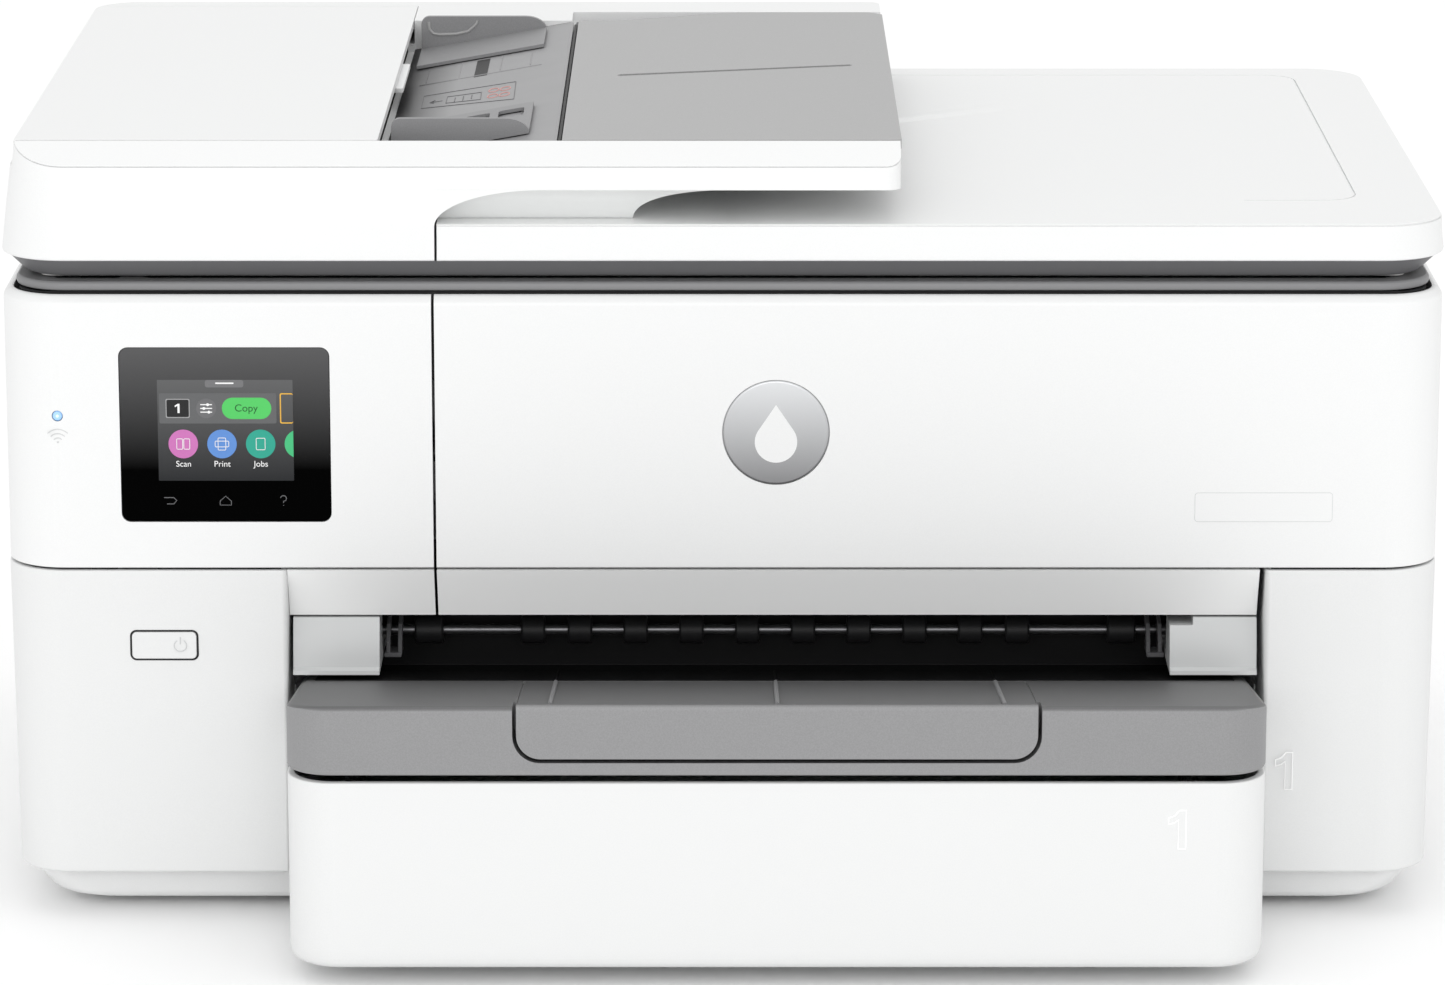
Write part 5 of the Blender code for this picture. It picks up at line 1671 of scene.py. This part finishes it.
def make_rail_and_platen():
    across, depth, height = spans("carriage_rod")
    rod = cylinder("carriage_rail", "X", (sum(depth) / 2, sum(height) / 2), across,
                   (depth[1] - depth[0]) / 2, 32, 0.0006)
    settle(rod, "printer_body", STEEL, ("carriage_rod",))
    (start, end), depth, (low, high) = spans("platen")
    plate = block("print_platen", (start, end), depth, (low, high - 0.0012), 0.001)
    ribs = [block("rib", (x, x + 0.0014), grow(depth, -0.002), (high - 0.0030, high), 0.0005)
            for x in [start + 0.006 + 0.0120 * k for k in range(26)]]
    pads = [block("pad", (x, x + 0.0080), (depth[0] + 0.020, depth[0] + 0.045),
                  (high - 0.0016, high - 0.0010), 0.001, 0.0001)
            for x in [start + 0.010 + 0.0240 * k for k in range(13)]]
    settle(plate, "printer_body", INK_BLACK, ("platen",))
    settle(gather("platen_ribs", ribs), "printer_body", INK_BLACK)
    settle(gather("platen_pads", pads), "printer_body", INK_BLACK)


def make_service_station():
    """A parking station with a soft cap in each of four wells."""
    (start, end), (front, back), (low, high) = spans("service_station")
    base = block("cap_station", (start, end), (front, back), (low, high - 0.0035), 0.002, 0.0006)
    wells, caps = [], []
    for k in range(4):
        x = start + k * 0.0100
        wells.append(block("well", (x + 0.004, x + 0.0115), (front + 0.010, back - 0.014),
                           (high - 0.0070, high), 0.001))
        caps.append(block("cap", (x + 0.0045, x + 0.0110), (front + 0.0120, back - 0.0160),
                          (high - 0.0068, high), 0.0010, 0.0004))
    carve(base, gather("wells", wells))
    settle(base, "printer_body", DARK, ("service_station",))
    settle(gather("nozzle_caps", caps), "printer_body", RUBBER)


def make_electronics():
    """The main board with its chips, and the vented case of the power supply."""
    across, depth, height = spans("main_board")
    board = block("controller_board", across, depth, height, 0.0, 0.0001)
    settle(board, "printer_body", GREEN_BOARD, ("main_board",))
    chips = [block("chip", (across[0] - proud, across[0] + 0.0001), (d, d + wide),
                   grow((z, z), tall / 2), 0.0003, 0.0002)
             for d, z, wide, tall, proud in ((0.10, 0.045, 0.022, 0.022, 0.0016),
                                             (0.15, 0.050, 0.012, 0.018, 0.0012),
                                             (0.20, 0.040, 0.030, 0.010, 0.0035),
                                             (0.245, 0.052, 0.010, 0.010, 0.0020),
                                             (0.075, 0.030, 0.012, 0.006, 0.0030))]
    settle(gather("board_components", chips), "printer_body", INK_BLACK)
    across, depth, height = spans("power_supply")
    case = block("supply_case", across, depth, height, 0.0015, 0.0008)
    vents = [block("vent", (x, x + 0.0020), (depth[0] - 0.01, depth[0] + 0.0012),
                   grow(height, -0.012), 0.0002)
             for x in [across[0] + 0.012 + 0.0060 * k for k in range(10)]]
    carve(case, gather("vents", vents))
    settle(case, "printer_body", INK_BLACK, ("power_supply",))


def make_rear_door():
    across, depth, height = spans("rear_door")
    door = block("rear_access_door", across, depth, height, 0.0006, 0.0005)
    grip = prism("grip", rounded_outline((-0.020, 0.055), (height[1] - 0.0150,
                                                            height[1] - 0.0060), 0.0040, 6),
                 "Y", (depth[1] - 0.0012, depth[1] + 0.01))
    carve(door, grip)
    settle(door, "rear_door_body", OFF_WHITE, ("rear_door",))
    lines = [block("rib", grow(across, -0.010), (depth[1] - 0.0002, depth[1]), (z, z + 0.0010),
                   0.0002, 0.0001) for z in (height[0] + 0.008, height[0] + 0.014)]
    settle(gather("rear_door_ribs", lines), "rear_door_body", OFF_WHITE)


def make_interior():
    make_rollers()
    make_carriage()
    make_belt()
    make_rail_and_platen()
    make_service_station()
    make_electronics()
    make_rear_door()


# Pieces that keep their CAD shape

def paint_kept(paints):
    """A finish and eased edges for the pieces that keep their CAD shape."""
    for node, material in paints.items():
        item = bpy.data.objects[node]
        item.data.materials.clear()
        item.data.materials.append(material)
        edges = item.modifiers.new("edges", "BEVEL")
        edges.width = 0.0004
        edges.segments = 2
        edges.limit_method = "ANGLE"
        edges.harden_normals = True


# Stage

# The photo's view: the lens in millimetres, the place, and the downward pitch in degrees.
CAMERA_LENS = 152.6
CAMERA_PLACE = (-0.0001, -2.1370, 0.6393)
CAMERA_PITCH = 13.62


def make_stage():
    """A large pale floor, a white surround and three soft lamps."""
    material, tree, shader = new_shader("floor")
    cloud = add_node(tree, "TexNoise", "Fac", Scale=3.0)
    ramp = tree.nodes.new("ShaderNodeValToRGB")
    ramp.color_ramp.elements[0].color = shade((0.965,) * 3)
    ramp.color_ramp.elements[1].color = shade((0.98,) * 3)
    feed(tree, ramp, {"Fac": cloud})
    feed(tree, shader, {"Roughness": 0.9, "Specular IOR Level": 0.1,
                        "Base Color": ramp.outputs["Color"]})
    mesh = mesh_from("floor", [(-4, -4, 0), (4, -4, 0), (4, 4, 0), (-4, 4, 0)], [(0, 1, 2, 3)])
    floor = new_object("floor", mesh)
    floor.data.materials.append(material)
    world = bpy.data.worlds.new("studio")
    world.use_nodes = True
    feed(world.node_tree, world.node_tree.nodes["Background"],
         {"Color": (1.0, 1.0, 1.0, 1), "Strength": 1.0})
    bpy.context.scene.world = world
    for name, place, size, energy in (("key", (-0.15, -2.6, 0.70), 1.6, 14.4),
                                      ("top", (0.0, 0.1, 2.4), 2.4, 5.0),
                                      ("fill", (0.8, -1.8, 1.4), 1.4, 1.5)):
        lamp = bpy.data.lights.new(name, "AREA")
        lamp.shape = "SQUARE"
        lamp.size = size
        lamp.energy = energy
        light = new_object(name, lamp)
        light.location = place
        aim = Vector((0, 0, 0.12)) - Vector(place)
        light.rotation_euler = aim.to_track_quat("-Z", "Y").to_euler()


def make_camera():
    lens = bpy.data.cameras.new("camera")
    lens.lens = CAMERA_LENS
    lens.sensor_width = 36.0
    camera = new_object("camera", lens)
    camera.location = CAMERA_PLACE
    camera.rotation_euler = (math.radians(90 - CAMERA_PITCH), 0, 0)
    bpy.context.scene.camera = camera
    bpy.context.scene.view_settings.view_transform = "Standard"


make_lower_housing()
make_base()
make_power_button()
make_rear_sockets()
make_lip("canopy_lip_face", (LEFT_EDGE, SPLIT_LEFT), "printer_body", "canopy_lip")
make_lip("door_lip_face", (SPLIT_RIGHT, 0.1827), "ink_door_body", "ink_door_lip")
make_exit_blocks()
make_output_roller()
make_exit_baffle()
make_upper_housing()
make_ink_door()
make_bezel()
make_scanner()
make_lid_cover()
make_lid_underside()
make_lid_hinges()
make_feeder_body()
make_feeder_cover()
make_feeder_panel()
make_feeder_guides()
make_feeder_rollers()
make_output_tray()
make_tray_extension()
make_cassette()
digit("tower_number", (0.1926, 0.0520), 0.0, "printer_body")
make_cassette_guides()
make_interior()
paint_kept({"scanner_tub": DARK, "scan_rod": STEEL, "print_carriage": DARK, "chassis": STEEL})
make_stage()
make_camera()
